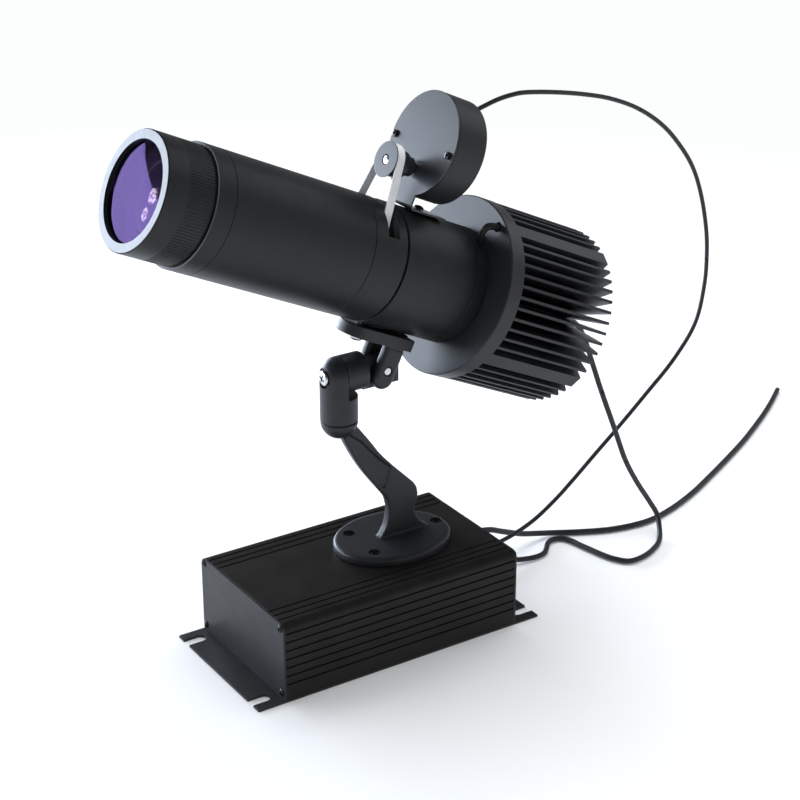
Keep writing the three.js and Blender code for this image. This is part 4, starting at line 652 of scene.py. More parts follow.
def settle(form: Form, name: str, finish: Dressing | Sequence[Dressing], body: Body, *replaces: str,
           crease: float = 32.0) -> bpy.types.Object:
    """Makes a form a finished piece of the scene.

    Args:
        form: The piece's mesh, in its place.
        name: The piece's name.
        finish: Its finish, or several where its faces differ.
        body: The body that it rides on.
        replaces: The CAD nodes that it stands for.
        crease: Edges sharper than this angle stay sharp in the shading, in degrees.

    Returns:
        The piece.
    """
    finishes = [finish] if isinstance(finish, Dressing) else list(finish)
    piece = form.piece(name, finishes)
    piece.data.set_sharp_from_angle(angle=math.radians(crease))
    normals = piece.modifiers.new("face_normals", "WEIGHTED_NORMAL")
    normals.keep_sharp = True
    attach(piece, body.value)
    if replaces:
        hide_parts(*replaces)
    LOG.info("%s: %d faces on %s", name, len(piece.data.polygons), body.value)
    return piece


def arc(centre: Point, radius: float, start: float, end: float, steps: int) -> list[Point]:
    """Points of an arc.

    Args:
        centre: Its centre.
        radius: Its radius.
        start: Angle of its first point, in degrees.
        end: Angle of its last point, in degrees.
        steps: Number of steps.

    Returns:
        The points, both ends included.
    """
    turns = [math.radians(start + (end - start) * i / steps) for i in range(steps + 1)]
    return [(centre[0] + radius * math.cos(t), centre[1] + radius * math.sin(t)) for t in turns]


def flowing(points: Sequence[Place], steps: int) -> list[Vector]:
    """A smooth line through points, with knots at the square root of their distance.

    Args:
        points: The points that it passes.
        steps: Number of steps between two of them.

    Returns:
        The line's points.
    """
    stops = [Vector(p) for p in points]
    stops = [stops[0] * 2.0 - stops[1], *stops, stops[-1] * 2.0 - stops[-2]]
    line: list[Vector] = []
    for before, first, second, after in zip(stops, stops[1:], stops[2:], stops[3:]):
        lead, gap, trail = (math.sqrt((b - a).length) for a, b in
                            ((before, first), (first, second), (second, after)))
        leave = (first - before) / lead - (second - before) / (lead + gap) + (second - first) / gap
        arrive = (second - first) / gap - (after - first) / (gap + trail) + (after - second) / trail
        stretch = interpolate_bezier(first, first + leave * gap / 3.0, second - arrive * gap / 3.0,
                                     second, steps + 1)
        line += stretch[:-1]
    line.append(stops[-2])
    return line


def sweep(line: Sequence[Vector], radius: float) -> Form:
    """A round tube with capped ends along a line.

    Args:
        line: Points of the line.
        radius: The tube's radius.

    Returns:
        The tube.
    """
    curve = bpy.data.curves.new("sweep", "CURVE")
    curve.dimensions = "3D"
    curve.bevel_depth = radius
    curve.bevel_resolution = 3
    curve.use_fill_caps = True
    spline = curve.splines.new("POLY")
    spline.points.add(len(line) - 1)
    for knot, spot in zip(spline.points, line):
        knot.co = (*spot, 1.0)
    route = shown("sweep", curve)
    graph = bpy.context.evaluated_depsgraph_get()
    mesh = bpy.data.meshes.new_from_object(route.evaluated_get(graph))
    form = Form()
    form.bm.from_mesh(mesh)
    bpy.data.meshes.remove(mesh)
    dropped(route)
    return form.tidied()


class Drive(Enum):
    """Recess in a screw's head."""

    CROSS = "cross"
    HEX = "hex"


@dataclass(frozen=True)
class Screw:
    """A screw along Y, its head's top at y = 0 and its shank towards +Y.

    Attributes:
        head: Head radius.
        height: Head height.
        shank: Shank radius.
        length: Shank length.
        drive: The recess in its head.
        dome: How much of the head's height is rounded, as a share.
        recess: Depth of the recess, as a share of the head's height.
        bar_half: Half width of the cross's bars, as a share of the head's radius.
        bar_reach: Half length of the cross's bars, as a share of the head's radius.
        socket: Radius of the hexagon, as a share of the head's radius.
        point: Length of the shank's tapered end, as a share of its radius.
        crown_steps: Steps across the rounding of the head.
    """

    head: float
    height: float
    shank: float
    length: float
    drive: Drive = Drive.CROSS
    dome: float = 0.6
    recess: float = 0.62
    bar_half: float = 0.12
    bar_reach: float = 0.55
    socket: float = 0.5
    point: float = 0.3
    crown_steps: int = 6

    def form(self) -> Form:
        """Returns the screw's mesh."""
        rise = self.height * self.dome
        quarter = arc((0.0, 0.0), 1.0, -90.0, 0.0, self.crown_steps)
        crown = [(self.head * x, rise * (1.0 + y)) for x, y in quarter]
        end = self.height + self.length
        taper = self.shank * self.point
        profile = [*crown, (self.head, self.height), (self.shank, self.height),
                   (self.shank, end - taper), (self.shank - taper, end), (0.0, end)]
        body = Form.turned(profile, SCREW_STEPS)
        depth = self.height * self.recess
        if self.drive is Drive.CROSS:
            half, reach = self.head * self.bar_half, self.head * self.bar_reach
            bar = Form.block((-half, -OVERRUN, -reach), (half, depth, reach))
            other = bar.copy().moved(turning(90.0, "Y"))
            body.carved(bar.fused(other))
        else:
            body.carved(Form.rod(self.head * self.socket, -OVERRUN, depth, HEX_SIDES))
        return body


def turning(degrees: float, axis: str) -> Matrix:
    """A turn about one of the three axes.

    Args:
        degrees: How far it turns.
        axis: X, Y or Z.

    Returns:
        The matrix.
    """
    return Matrix.Rotation(math.radians(degrees), 4, axis)


FACING_UP = turning(-90.0, "X")
FACING_DOWN = turning(90.0, "X")
ACROSS = turning(-90.0, "Z")
HALF_FACET = turning(180.0 / SMALL_STEPS, "Y")  # Keeps a cutter's facets off those of what it cuts.


@dataclass
class DriverBox:
    """The case on its base plate, with its end plates, screws and grommets."""

    half_width: float = 0.05
    half_length: float = 0.0825
    top: float = 0.0515
    base_half_length: float = 0.1
    base_thickness: float = 0.0015
    slot_place: float = 0.04
    slot_radius: float = 0.0035
    slot_depth: float = 0.0127
    slot_steps: int = 14
    top_radius: float = 0.0045
    top_steps: int = 8
    plate: float = 0.0015
    wall: float = 0.0022
    groove_width: float = 0.0011
    groove_depth: float = 0.0009
    top_groove_inset: float = 0.0077
    top_groove_pitch: float = 0.00575
    top_grooves: int = 3
    side_groove_inset: float = 0.006
    side_groove_pitch: float = 0.0056
    side_grooves: int = 7
    port_inset: float = 0.0035
    port_top_inset: float = 0.0032
    port_base_inset: float = 0.0041
    port_boss: float = 0.008
    screw: Screw = Screw(0.0024, 0.0011, 0.0012, 0.009, dome=0.9)
    grommet_wall: float = 0.0015
    grommet_flange: float = 0.0016
    grommet_round: float = 0.00025
    boot_groove: float = 0.0006
    boot_groove_shares: tuple[float, ...] = (0.4, 0.6, 0.8)
    sheet_round: float = 0.0002
    groove_round: float = 0.00016
    groove_angle: float = 50.0
    screw_twist: float = 37.0
    exits: dict[str, tuple[float, float, float, float]] = field(default_factory=lambda: {
        "mains_gland": (-0.02, 0.0283, 0.0019, 0.021),
        "lamp_grommet": (-0.017, 0.0125, 0.00175, 0.003),
        "motor_grommet": (-0.006, 0.0235, 0.0014, 0.003),
    })

    def build(self) -> None:
        """Builds the box and dresses it."""
        self.base_plate()
        self.shell()
        self.end_plates()
        self.screws()
        self.grommets()

    def base_plate(self) -> None:
        """The plate under the case, with two open slots at each end."""
        edge, radius = self.base_half_length, self.slot_radius
        floor = self.slot_depth - edge - radius
        front: list[Point] = [(-self.half_width, -edge)]
        for x in (-self.slot_place, self.slot_place):
            front += [(x - radius, -edge), *arc((x, floor), radius, 180.0, 0.0, self.slot_steps),
                      (x + radius, -edge)]
        front.append((self.half_width, -edge))
        outline = front + [(-x, -y) for x, y in front]
        form = Form.drawn(outline, Way.Z, 0.0, self.base_thickness).softened(self.sheet_round)
        settle(form, "base_sheet", SHEET_BLACK, Body.ROOT, "base_plate")

    def outline(self, grooved: bool) -> list[Point]:
        """The case's section.

        Args:
            grooved: True for the case, False for its end plates.

        Returns:
            Points of (x, z), from the lower left corner round by the right side.
        """
        half, base = self.half_width, self.base_thickness
        wide, deep = self.groove_width / 2, self.groove_depth
        right: list[Point] = [(half, base)]
        if grooved:
            for i in reversed(range(self.side_grooves)):
                z = self.top - self.side_groove_inset - i * self.side_groove_pitch
                right += [(half, z - wide), (half - deep, z - wide), (half - deep, z + wide),
                          (half, z + wide)]
        right += arc((half - self.top_radius, self.top - self.top_radius), self.top_radius, 0.0, 90.0,
                     self.top_steps)
        if grooved:
            for i in range(self.top_grooves):
                x = half - self.top_groove_inset - i * self.top_groove_pitch
                right += [(x + wide, self.top), (x + wide, self.top - deep), (x - wide, self.top - deep),
                          (x - wide, self.top)]
        return right + [(-x, z) for x, z in reversed(right)]

    def shell(self) -> None:
        """The drawn case, open at both ends."""
        end = self.half_length - self.plate
        x, low, high = self.half_width - self.wall, self.base_thickness + self.wall, self.top - self.wall
        boss = self.port_boss
        right = [(x - boss, low), (x, low + boss), (x, high - boss), (x - boss, high)]
        hollow = Form.drawn(right + [(-a, b) for a, b in reversed(right)], Way.Y, -end - OVERRUN,
                            end + OVERRUN)
        form = Form.drawn(self.outline(True), Way.Y, -end, end)
        form.softened(self.groove_round, 1, self.groove_angle).carved(hollow)
        settle(form, "case_shell", CASE_BLACK, Body.ROOT, "driver_shell")

    def end_plates(self) -> None:
        """The two end plates, the rear one with holes for the leads."""
        outline = self.outline(False)
        front = Form.drawn(outline, Way.Y, -self.half_length, self.plate - self.half_length)
        settle(front.softened(self.sheet_round), "front_plate", PLATE_BLACK, Body.ROOT, "front_end_plate")
        rear = Form.drawn(outline, Way.Y, self.half_length - self.plate, self.half_length)
        rear.softened(self.sheet_round)
        for x, z, radius, _ in self.exits.values():
            hole = radius + self.grommet_wall + CLEAR
            rear.carved(Form.rod(hole, self.half_length - 2 * self.plate, self.half_length + OVERRUN)
                        .shifted(x, 0.0, z))
        settle(rear, "rear_plate", PLATE_BLACK, Body.ROOT, "rear_end_plate")

    def screws(self) -> None:
        """Four screws in each end plate."""
        spots = [(side * (self.half_width - self.port_inset), z) for side in (-1, 1)
                 for z in (self.top - self.port_top_inset, self.base_thickness + self.port_base_inset)]
        back = turning(180.0, "Z")
        for number, (x, z) in enumerate(spots, 1):
            head = self.half_length + self.screw.height
            twist = turning(self.screw_twist * number, "Y")
            form = self.screw.form().moved(twist).shifted(x, -head, z)
            settle(form, f"front_screw_{number}", SCREW_BLACK, Body.ROOT, f"front_plate_screw_{number}")
            form = self.screw.form().moved(twist).moved(back).shifted(x, head, z)
            settle(form, f"rear_screw_{number}", SCREW_BLACK, Body.ROOT)

    def grommets(self) -> None:
        """A flanged grommet for each lead, the one for the mains lead with a long boot."""
        for name, (x, z, radius, reach) in self.exits.items():
            neck = radius + self.grommet_wall
            flange = neck + self.grommet_flange
            inner = self.half_length - self.plate - CLEAR - self.grommet_flange
            outer = self.half_length + CLEAR
            tip = outer + reach
            profile = [(0.0, inner), (flange, inner), (flange, inner + self.grommet_flange),
                       (neck, inner + self.grommet_flange), (neck, outer), (flange, outer),
                       (flange, outer + self.grommet_flange * 0.5), (neck, outer + self.grommet_flange),
                       (radius + self.grommet_wall / 3, tip), (0.0, tip)]
            form = Form.turned(profile, SMALL_STEPS).softened(self.grommet_round)
            if reach > 2 * self.grommet_flange:
                half = self.boot_groove / 2
                for share in self.boot_groove_shares:
                    y = outer + self.grommet_flange + (reach - self.grommet_flange) * share
                    groove = Form.tube(radius + self.boot_groove, flange, y - half, y + half, SMALL_STEPS)
                    form.carved(groove.moved(HALF_FACET))
            settle(form.shifted(x, 0.0, z), f"{name}_boot", MOULDED_BLACK, Body.ROOT, name)


@dataclass
class Foot:
    """The casting of oval foot, bent arm and dome, and its three screws."""

    axis_x: float = -0.002
    centre_y: float = 0.025
    post_y: float = -0.0119
    base: float = 0.0515
    half_width: float = 0.0306
    half_length: float = 0.0384
    thickness: float = 0.006
    edge: float = 0.0022
    edge_steps: int = 5
    reach: float = 0.0369
    rise: float = 0.0862
    arm_half: float = 0.003
    panel_depth: float = 0.0013
    arm_steps: int = 5
    dome: float = 0.0113
    dome_steps: int = 12
    spigot: float = 0.0043
    spigot_depth: float = 0.0065
    voxel: float = 0.0006
    screw: Screw = Screw(0.0034, 0.0018, 0.002, 0.006, Drive.CROSS, 0.8)
    screw_sink: float = 0.0022
    screw_twist: float = 29.0
    screw_places: tuple[Point, ...] = ((-0.0166, 0.003), (0.0126, 0.003), (-0.002, 0.0575))
    rear_shares: tuple[Point, ...] = (
        (0.25, 0.955), (0.537, 0.791), (0.726, 0.677), (0.919, 0.582), (1.114, 0.494), (1.312, 0.408),
        (1.425, 0.35), (1.466, 0.28), (1.434, 0.212), (1.404, 0.167), (1.434, 0.115), (1.534, 0.055),
        (1.68, 0.0),
    )
    front_shares: tuple[Point, ...] = (
        (0.729, 0.0), (0.837, 0.075), (0.886, 0.15), (0.897, 0.227), (0.855, 0.304), (0.743, 0.372),
        (0.569, 0.471), (0.379, 0.586), (0.192, 0.723), (0.04, 0.86), (0.02, 0.93),
    )
    panel_shares: tuple[Point, ...] = (
        (0.122, 0.89), (0.363, 0.81), (0.534, 0.723), (0.726, 0.631), (0.938, 0.55), (0.829, 0.395),
        (0.75, 0.402), (0.595, 0.479), (0.405, 0.597), (0.22, 0.73), (0.08, 0.86),
    )

    def build(self) -> None:
        """Builds the casting and its screws."""
        self.casting()
        self.screws()

    def edge_line(self, shares: Sequence[Point], steps: int) -> list[Point]:
        """A smooth edge of the arm.

        Args:
            shares: Its points, as shares of the arm's reach and rise.
            steps: Steps between two points.

        Returns:
            Points of (y, z).
        """
        foot_top = self.base + self.thickness
        spots = [(0.0, self.post_y + a * self.reach, foot_top + b * self.rise) for a, b in shares]
        return [(p.y, p.z) for p in flowing(spots, steps)]

    def casting(self) -> None:
        """The one-piece casting, with the fillets and soft edges of a casting."""
        foot_top, seam = self.base + self.thickness, self.base + self.thickness + self.rise
        rim = self.half_width
        rounding = arc((rim - self.edge, foot_top - self.edge), self.edge, 0.0, 90.0,
                       self.edge_steps)
        oval = Form.turned([(0.0, self.base), (rim, self.base), *rounding, (0.0, foot_top)], BARREL_STEPS)
        oval.moved(FACING_DOWN).moved(Matrix.Scale(self.half_length / rim, 4, (0.0, 1.0, 0.0)))
        oval.shifted(self.axis_x, self.centre_y, 0.0)

        below = self.base + self.thickness / 2
        rear = self.edge_line(self.rear_shares, self.arm_steps)
        front = self.edge_line(self.front_shares, self.arm_steps)
        outline = [*rear, (rear[-1][0], below), (front[0][0], below), *front]
        left, right = self.axis_x - self.arm_half, self.axis_x + self.arm_half
        web = Form.drawn(outline, Way.X, left, right)
        ball = arc((0.0, seam), self.dome, 0.0, -90.0, self.dome_steps)
        cup = Form.turned([(0.0, seam), *ball], SMALL_STEPS).moved(FACING_DOWN)
        cup.shifted(self.axis_x, self.post_y, 0.0)

        panel = self.edge_line(self.panel_shares, 1)
        pocket = Form.drawn(panel, Way.X, right - self.panel_depth, right + OVERRUN)
        far_pocket = Form.drawn(panel, Way.X, left - OVERRUN, left + self.panel_depth)
        form = oval.joined(web, cup).cast(self.voxel, CASTING_PASSES).carved(pocket, far_pocket)
        form.cast(self.voxel, CASTING_PASSES - 1)
        trim = Form.block((-self.half_width * 2, -self.half_length * 2, 0.0),
                          (self.half_width * 2, self.half_length * 3, self.base))
        lid = Form.block((self.axis_x - self.dome * 2, self.post_y - self.dome * 2, seam),
                         (self.axis_x + self.dome * 2, self.post_y + self.dome * 2, seam + self.dome))
        bore = Form.rod(self.spigot, seam - self.spigot_depth, seam + OVERRUN).moved(FACING_DOWN)
        bore.shifted(self.axis_x, self.post_y, 0.0)
        sinks = [self.sink(x, y) for x, y in self.screw_places]
        form.carved(trim, lid, bore, *sinks)
        settle(form, "foot_casting", CAST_BLACK, Body.ROOT, "foot_arm", crease=CASTING_CREASE)

    def sink(self, x: float, y: float) -> Form:
        """The stepped hole for a foot screw."""
        top = self.base + self.thickness
        seat = top - self.screw_sink - CLEAR
        hole, wide = self.screw.shank + CLEAR, self.screw.head + CLEAR
        profile = [(0.0, self.base - OVERRUN), (hole, self.base - OVERRUN), (hole, seat), (wide, seat),
                   (wide, top + OVERRUN), (0.0, top + OVERRUN)]
        return Form.turned(profile, SMALL_STEPS).moved(FACING_DOWN).shifted(x, y, 0.0)

    def screws(self) -> None:
        """Three screws, heads up, in the oval foot."""
        top = self.base + self.thickness - self.screw_sink + self.screw.height
        for number, (x, y) in enumerate(self.screw_places, 1):
            form = self.screw.form().moved(turning(self.screw_twist * number, "Y"))
            form.moved(FACING_UP).shifted(x, y, top)
            settle(form, f"foot_screw_head_{number}", SCREW_BLACK, Body.ROOT, f"foot_screw_{number}")


@dataclass
class Swivel:
    """The post, the elbow with its clamp screw, and the fork that carries the barrel."""

    elbow: Place = (-0.002, -0.0119, 0.1724)
    radius: float = 0.0113
    post_base: float = 0.1443
    crown_steps: int = 14
    ledge: float = 0.0128
    spigot: float = 0.004
    spigot_length: float = 0.0065
    clamp: Screw = Screw(0.0046, 0.0026, 0.003, 0.02, Drive.CROSS, 0.5)
    clamp_recess: float = 0.006
    clamp_depth: float = 0.0026
    clamp_bore: float = 0.0033
    clamp_bore_end: float = 0.0126
    clamp_twist: float = 22.918
    shoulder: float = 0.0149
    tongue_end: float = 0.0389
    tongue_half: float = 0.0045
    tongue_rise: float = 0.006
    pin_reach: float = 0.02673
    pin: float = 0.00235
    pin_recess: float = 0.003
    pin_recess_depth: float = 0.001
    pin_round: float = 0.0004
    pad_half: float = 0.012
    pad_thickness: float = 0.0072
    pad_top: float = 0.0215
    pad_front: float = 0.0352
    pad_rear: float = 0.0108
    nose_steps: int = 24
    rib_half: float = 0.004
    rib_rise: float = 0.0008
    ear_half: float = 0.0069
    ear_toe: float = 0.0049
    ear_gap: float = 0.005
    ear_round: float = 0.0028
    ear_round_steps: int = 4
    saddle_screw: Screw = Screw(0.00475, 0.003, 0.002, 0.0113, Drive.CROSS, 0.8)
    flush_screw: Screw = Screw(0.0034, 0.0016, 0.002, 0.0091, Drive.CROSS, 0.4)
    flush_depth: float = 0.0022
    voxel: float = 0.00036

    def build(self, head: Matrix) -> None:
        """Builds the swivel.

        Args:
            head: Places the fork, whose origin is the tilt pin.
        """
        self.post()
        self.stub()
        self.fork(head)
        self.fork_hardware(head)

    def post(self) -> None:
        """The round post, half cut away behind the clamp screw."""
        x, y, z = self.elbow
        crown = arc((0.0, z), self.radius, 0.0, 90.0, self.crown_steps)
        stem = [(0.0, self.post_base), (self.radius, self.post_base), *crown[:-1], (0.0, z + self.radius)]
        form = Form.turned(stem, STEM_STEPS).moved(FACING_DOWN)
        reach = self.radius + OVERRUN
        lap = Form.block((-reach, 0.0, z - self.ledge), (reach, reach, z + reach))
        form.carved(lap).cast(self.voxel, CASTING_PASSES)
        base = Form.block((-reach, -reach, self.post_base - self.radius), (reach, reach, self.post_base))
        recess = Form.rod(self.clamp_recess, -reach, self.clamp_depth - self.radius).shifted(0.0, 0.0, z)
        bore = Form.rod(self.clamp_bore, -reach, reach).shifted(0.0, 0.0, z)
        form.carved(base, recess, bore)
        spigot = Form.rod(self.spigot, self.post_base - self.spigot_length, self.post_base + OVERRUN)
        form.fused(spigot.moved(FACING_DOWN)).shifted(x, y, 0.0)
        settle(form, "post_casting", CAST_BLACK, Body.POST, "swivel_post", crease=CASTING_CREASE)

    def stub(self) -> None:
        """The elbow: a round stub behind the post, and the tongue between the fork's ears."""
        barrel = Form.rod(self.radius, CLEAR, self.shoulder, STEM_STEPS)
        tongue = Form.block((-self.tongue_half, self.shoulder - OVERRUN, -self.radius),
                            (self.tongue_half, self.tongue_end, self.tongue_rise))
        form = barrel.fused(tongue).cast(self.voxel, CASTING_PASSES)
        face = Form.block((-self.radius, -OVERRUN, -self.radius), (self.radius, CLEAR, self.radius))
        pin = Form.rod(self.pin + CLEAR, -self.radius, self.radius).moved(ACROSS)
        bore = Form.rod(self.clamp_bore, -OVERRUN, self.clamp_bore_end)
        form.carved(face, pin.shifted(0.0, self.pin_reach, 0.0), bore).shifted(*self.elbow)
        settle(form, "elbow_casting", CAST_BLACK, Body.ELBOW, "elbow_stub", crease=CASTING_CREASE)

        front = self.clamp_depth - self.radius - CLEAR - self.clamp.height
        form = self.clamp.form().moved(turning(self.clamp_twist, "Y")).shifted(0.0, front, 0.0)
        settle(form.shifted(*self.elbow), "clamp_bolt", BRIGHT_STEEL, Body.ELBOW, "clamp_screw")

    def fork(self, head: Matrix) -> None:
        """The saddle pad with its two ears."""
        nose = self.pad_half - self.pad_front
        bottom = self.pad_top - self.pad_thickness
        outline = [(self.pad_half, self.pad_rear), (-self.pad_half, self.pad_rear),
                   *arc((0.0, nose), self.pad_half, 180.0, 360.0, self.nose_steps)]
        pad = Form.drawn(outline, Way.Z, bottom, self.pad_top)
        rib = Form.block((-self.rib_half, nose, self.pad_top - OVERRUN),
                         (self.rib_half, self.pad_rear, self.pad_top + self.rib_rise))
        ear = [(self.ear_half, bottom + OVERRUN), (-self.ear_half, bottom + OVERRUN),
               *arc((0.0, -self.ear_toe), self.ear_half, 180.0, 360.0, self.nose_steps)]
        ears = [Form.drawn(ear, Way.X, *ends).softened(self.ear_round, self.ear_round_steps)
                for ends in ((self.ear_gap, self.pad_half), (-self.pad_half, -self.ear_gap))]
        form = pad.joined(rib, *ears).cast(self.voxel, CASTING_PASSES)
        reach = self.pad_half + OVERRUN
        pin = Form.rod(self.pin + CLEAR, -reach, reach).moved(ACROSS)
        deep = self.pad_half - self.pin_recess_depth
        sides = [Form.rod(self.pin_recess, *ends).moved(ACROSS) for ends in ((deep, reach), (-reach, -deep))]
        bore = self.saddle_screw.shank + CLEAR
        holes = [Form.rod(bore, bottom - OVERRUN, self.pad_top + 2 * OVERRUN).moved(FACING_DOWN)
                 .shifted(0.0, y, 0.0) for y in (nose, 0.0)]
        sink = Form.rod(self.flush_screw.head + CLEAR, bottom - OVERRUN, bottom + self.flush_depth)
        form.carved(pin, *sides, *holes, sink.moved(FACING_DOWN))
        settle(form.moved(head), "fork_casting", CAST_BLACK, Body.HEAD, "tilt_fork", crease=CASTING_CREASE)

    def fork_hardware(self, head: Matrix) -> None:
        """The tilt pin and the two saddle screws."""
        end = self.pad_half - CLEAR
        pin = Form.rod(self.pin, -end, end).softened(self.pin_round, 3)
        pin.moved(ACROSS).moved(head)
        settle(pin, "tilt_pin_bright", BRIGHT_STEEL, Body.HEAD, "tilt_pin")
        bottom = self.pad_top - self.pad_thickness
        nose = self.pad_half - self.pad_front
        domed = self.saddle_screw.form().moved(FACING_DOWN)
        domed.shifted(0.0, nose, bottom - self.saddle_screw.height - CLEAR).moved(head)
        settle(domed, "saddle_bolt_front", BRIGHT_STEEL, Body.HEAD, "saddle_screw_front")
        flush = self.flush_screw.form().moved(FACING_DOWN).shifted(0.0, 0.0, bottom + CLEAR).moved(head)
        settle(flush, "saddle_bolt_rear", SCREW_BLACK, Body.HEAD, "saddle_screw_rear")


@dataclass
class Barrel:
    """The barrel's turned sections; y counts from the front bezel, rearwards."""

    bezel_y: float = -0.1933
    radius: float = 0.0354
    focus_radius: float = 0.0339
    focus_length: float = 0.0303
    focus_bore: float = 0.0307
    opening: float = 0.0283
    bezel_depth: float = 0.003
    knurl_length: float = 0.0165
    knurl_ribs: int = 118
    knurl_depth: float = 0.00028
    knurl_inset: float = 0.00022
    heel_length: float = 0.0009
    heel_depth: float = 0.0004
    nose_length: float = 0.012
    main_length: float = 0.095
    drive_length: float = 0.0231
    lip_gap: float = 0.001
    rear_length: float = 0.0509
    collar_length: float = 0.0098
    bore: float = 0.033
    rear_bore: float = 0.0324
    drive_bore: float = 0.031
    shoulder_bore: float = 0.0203
    shoulder: float = 0.0025
    overlap: float = 0.008
    spigot_wall: float = 0.003
    nose_spigot: float = 0.0303
    nose_bore: float = 0.0275
    nose_chamfer: float = 0.00045
    nose_heel_length: float = 0.0003
    nose_heel_depth: float = 0.0002
    chamfer: float = 0.0006
    main_round: float = 0.00022
    drive_round: float = 0.00015
    rear_round: float = 0.0003
    belt_front: float = 0.0101
    belt_width: float = 0.0052
    window_width: float = 0.0079
    window_half_angle: float = 56.0
    window_steps: int = 40
    # How squarely a chamfer's faces must face along the axis to take the painted highlight.
    bezel_highlight_facing: float = 0.9
    nose_highlight_facing: float = 0.4
    drive_highlight_facing: float = 0.5

    def __post_init__(self) -> None:
        """Works out where each section begins."""
        self.nose_y = self.bezel_y + self.focus_length
        self.main_y = self.nose_y + self.nose_length
        self.drive_y = self.main_y + self.main_length
        self.rear_y = self.drive_y + self.drive_length + self.lip_gap
        self.collar_y = self.rear_y + self.rear_length
        self.sink_y = self.collar_y + self.collar_length

    def build(self, place: Matrix) -> None:
        """Builds the sections.

        Args:
            place: Puts the barrel's axis in the row frame.
        """
        self.focus_ring(place)
        self.nose_and_main(place)
        self.drive_ring(place)
        self.rear_and_collar(place)

    def focus_ring(self, place: Matrix) -> None:
        """The focus ring with its front chamfer, painted pale as a painted highlight, and its ribbed band."""
        end = self.focus_length - CLEAR
        band = end - self.knurl_length
        edge = self.chamfer
        profile = [(self.opening, 0.0), (self.focus_radius - edge, 0.0), (self.focus_radius, edge),
                   (self.focus_radius, band), (self.focus_radius, end - self.heel_length),
                   (self.focus_radius - self.heel_depth, end),
                   (self.focus_bore, end), (self.focus_bore, self.bezel_depth),
                   (self.opening, self.bezel_depth)]
        form = Form.turned(profile, self.knurl_ribs * 2, ring=True)
        ribs = [face for face in form.bm.faces if self.is_band(face, band, end)]
        ribs.sort(key=lambda face: math.atan2(face.calc_center_median().z, face.calc_center_median().x))
        bmesh.ops.inset_individual(form.bm, faces=ribs[::2], thickness=self.knurl_inset,
                                   depth=-self.knurl_depth)
        # The front chamfer is painted pale as a painted highlight.
        form.dabbed(1, lambda face: face.normal.y < -self.bezel_highlight_facing
                    and face.calc_center_median().y < edge / 2)
        form.shifted(0.0, self.bezel_y, 0.0).moved(place)
        settle(form, "focus_grip", [TUBE_BLACK, LIP_HIGHLIGHT], Body.FOCUS, "focus_ring")

    def is_band(self, face: bmesh.types.BMFace, start: float, end: float) -> bool:
        """Says whether a face is on the ribbed band between start and end."""
        centre = face.calc_center_median()
        outside = math.hypot(centre.x, centre.z) > self.focus_radius - self.heel_depth / 2
        return outside and start < centre.y < end - self.heel_length

    def nose_and_main(self, place: Matrix) -> None:
        """The nose ring and the long main tube."""
        end = self.nose_length - CLEAR / 3
        spigot = self.bore - CLEAR
        profile = [(self.nose_bore, -self.overlap), (self.nose_spigot, -self.overlap),
                   (self.nose_spigot, 0.0),
                   (self.radius - self.nose_chamfer, 0.0), (self.radius, self.nose_chamfer),
                   (self.radius, end - self.nose_heel_length), (self.radius - self.nose_heel_depth, end),
                   (spigot, end),
                   (spigot, end + self.overlap), (self.nose_bore, end + self.overlap)]
        form = Form.turned(profile, ring=True)
        # The front chamfer is painted pale as a painted highlight.
        form.dabbed(1, lambda face: 0.0 < face.calc_center_median().y < self.nose_chamfer
                    and face.normal.y < -self.nose_highlight_facing)
        form.shifted(0.0, self.nose_y, 0.0).moved(place)
        settle(form, "nose_section", [TUBE_BLACK, LIP_HIGHLIGHT], Body.HEAD, "nose_ring")
        form = Form.tube(self.bore, self.radius, self.main_y, self.drive_y - CLEAR).softened(self.main_round)
        settle(form.moved(place), "main_section", TUBE_BLACK, Body.HEAD, "main_tube")

    def drive_ring(self, place: Matrix) -> None:
        """The ring with the window that the belt runs through."""
        spigot = self.bore - CLEAR
        inner = spigot - self.spigot_wall
        half = self.shoulder / 2
        profile = [(inner, -self.overlap), (spigot, -self.overlap), (spigot, 0.0), (self.radius, 0.0),
                   (self.radius, self.drive_length - self.chamfer),
                   (self.radius - self.chamfer, self.drive_length), (self.drive_bore, self.drive_length),
                   (self.drive_bore, half), (self.shoulder_bore, half), (self.shoulder_bore, -half),
                   (inner, -half)]
        form = Form.turned(profile, ring=True).softened(self.drive_round, 1)
        low, high = 90.0 - self.window_half_angle, 90.0 + self.window_half_angle
        sector = [*arc((0.0, 0.0), self.radius + OVERRUN, low, high, self.window_steps),
                  *arc((0.0, 0.0), self.drive_bore - OVERRUN, high, low, self.window_steps)]
        margin = (self.window_width - self.belt_width) / 2
        window = Form.drawn(sector, Way.Y, self.belt_front - margin,
                            self.belt_front + self.belt_width + margin)
        # The rear chamfer is painted pale as a painted highlight.
        form.carved(window).dabbed(1, self.is_highlight_lip).shifted(0.0, self.drive_y, 0.0).moved(place)
        settle(form, "drive_section", [TUBE_BLACK, LIP_HIGHLIGHT], Body.HEAD, "drive_ring")

    def is_highlight_lip(self, face: bmesh.types.BMFace) -> bool:
        """Says whether a face is on the chamfer at the rear of the drive ring, painted pale as a painted
        highlight.
        """
        centre = face.calc_center_median()
        behind = face.normal.y > self.drive_highlight_facing and centre.y > self.drive_length - 2 * self.chamfer
        return behind and math.hypot(centre.x, centre.z) > self.radius - self.chamfer

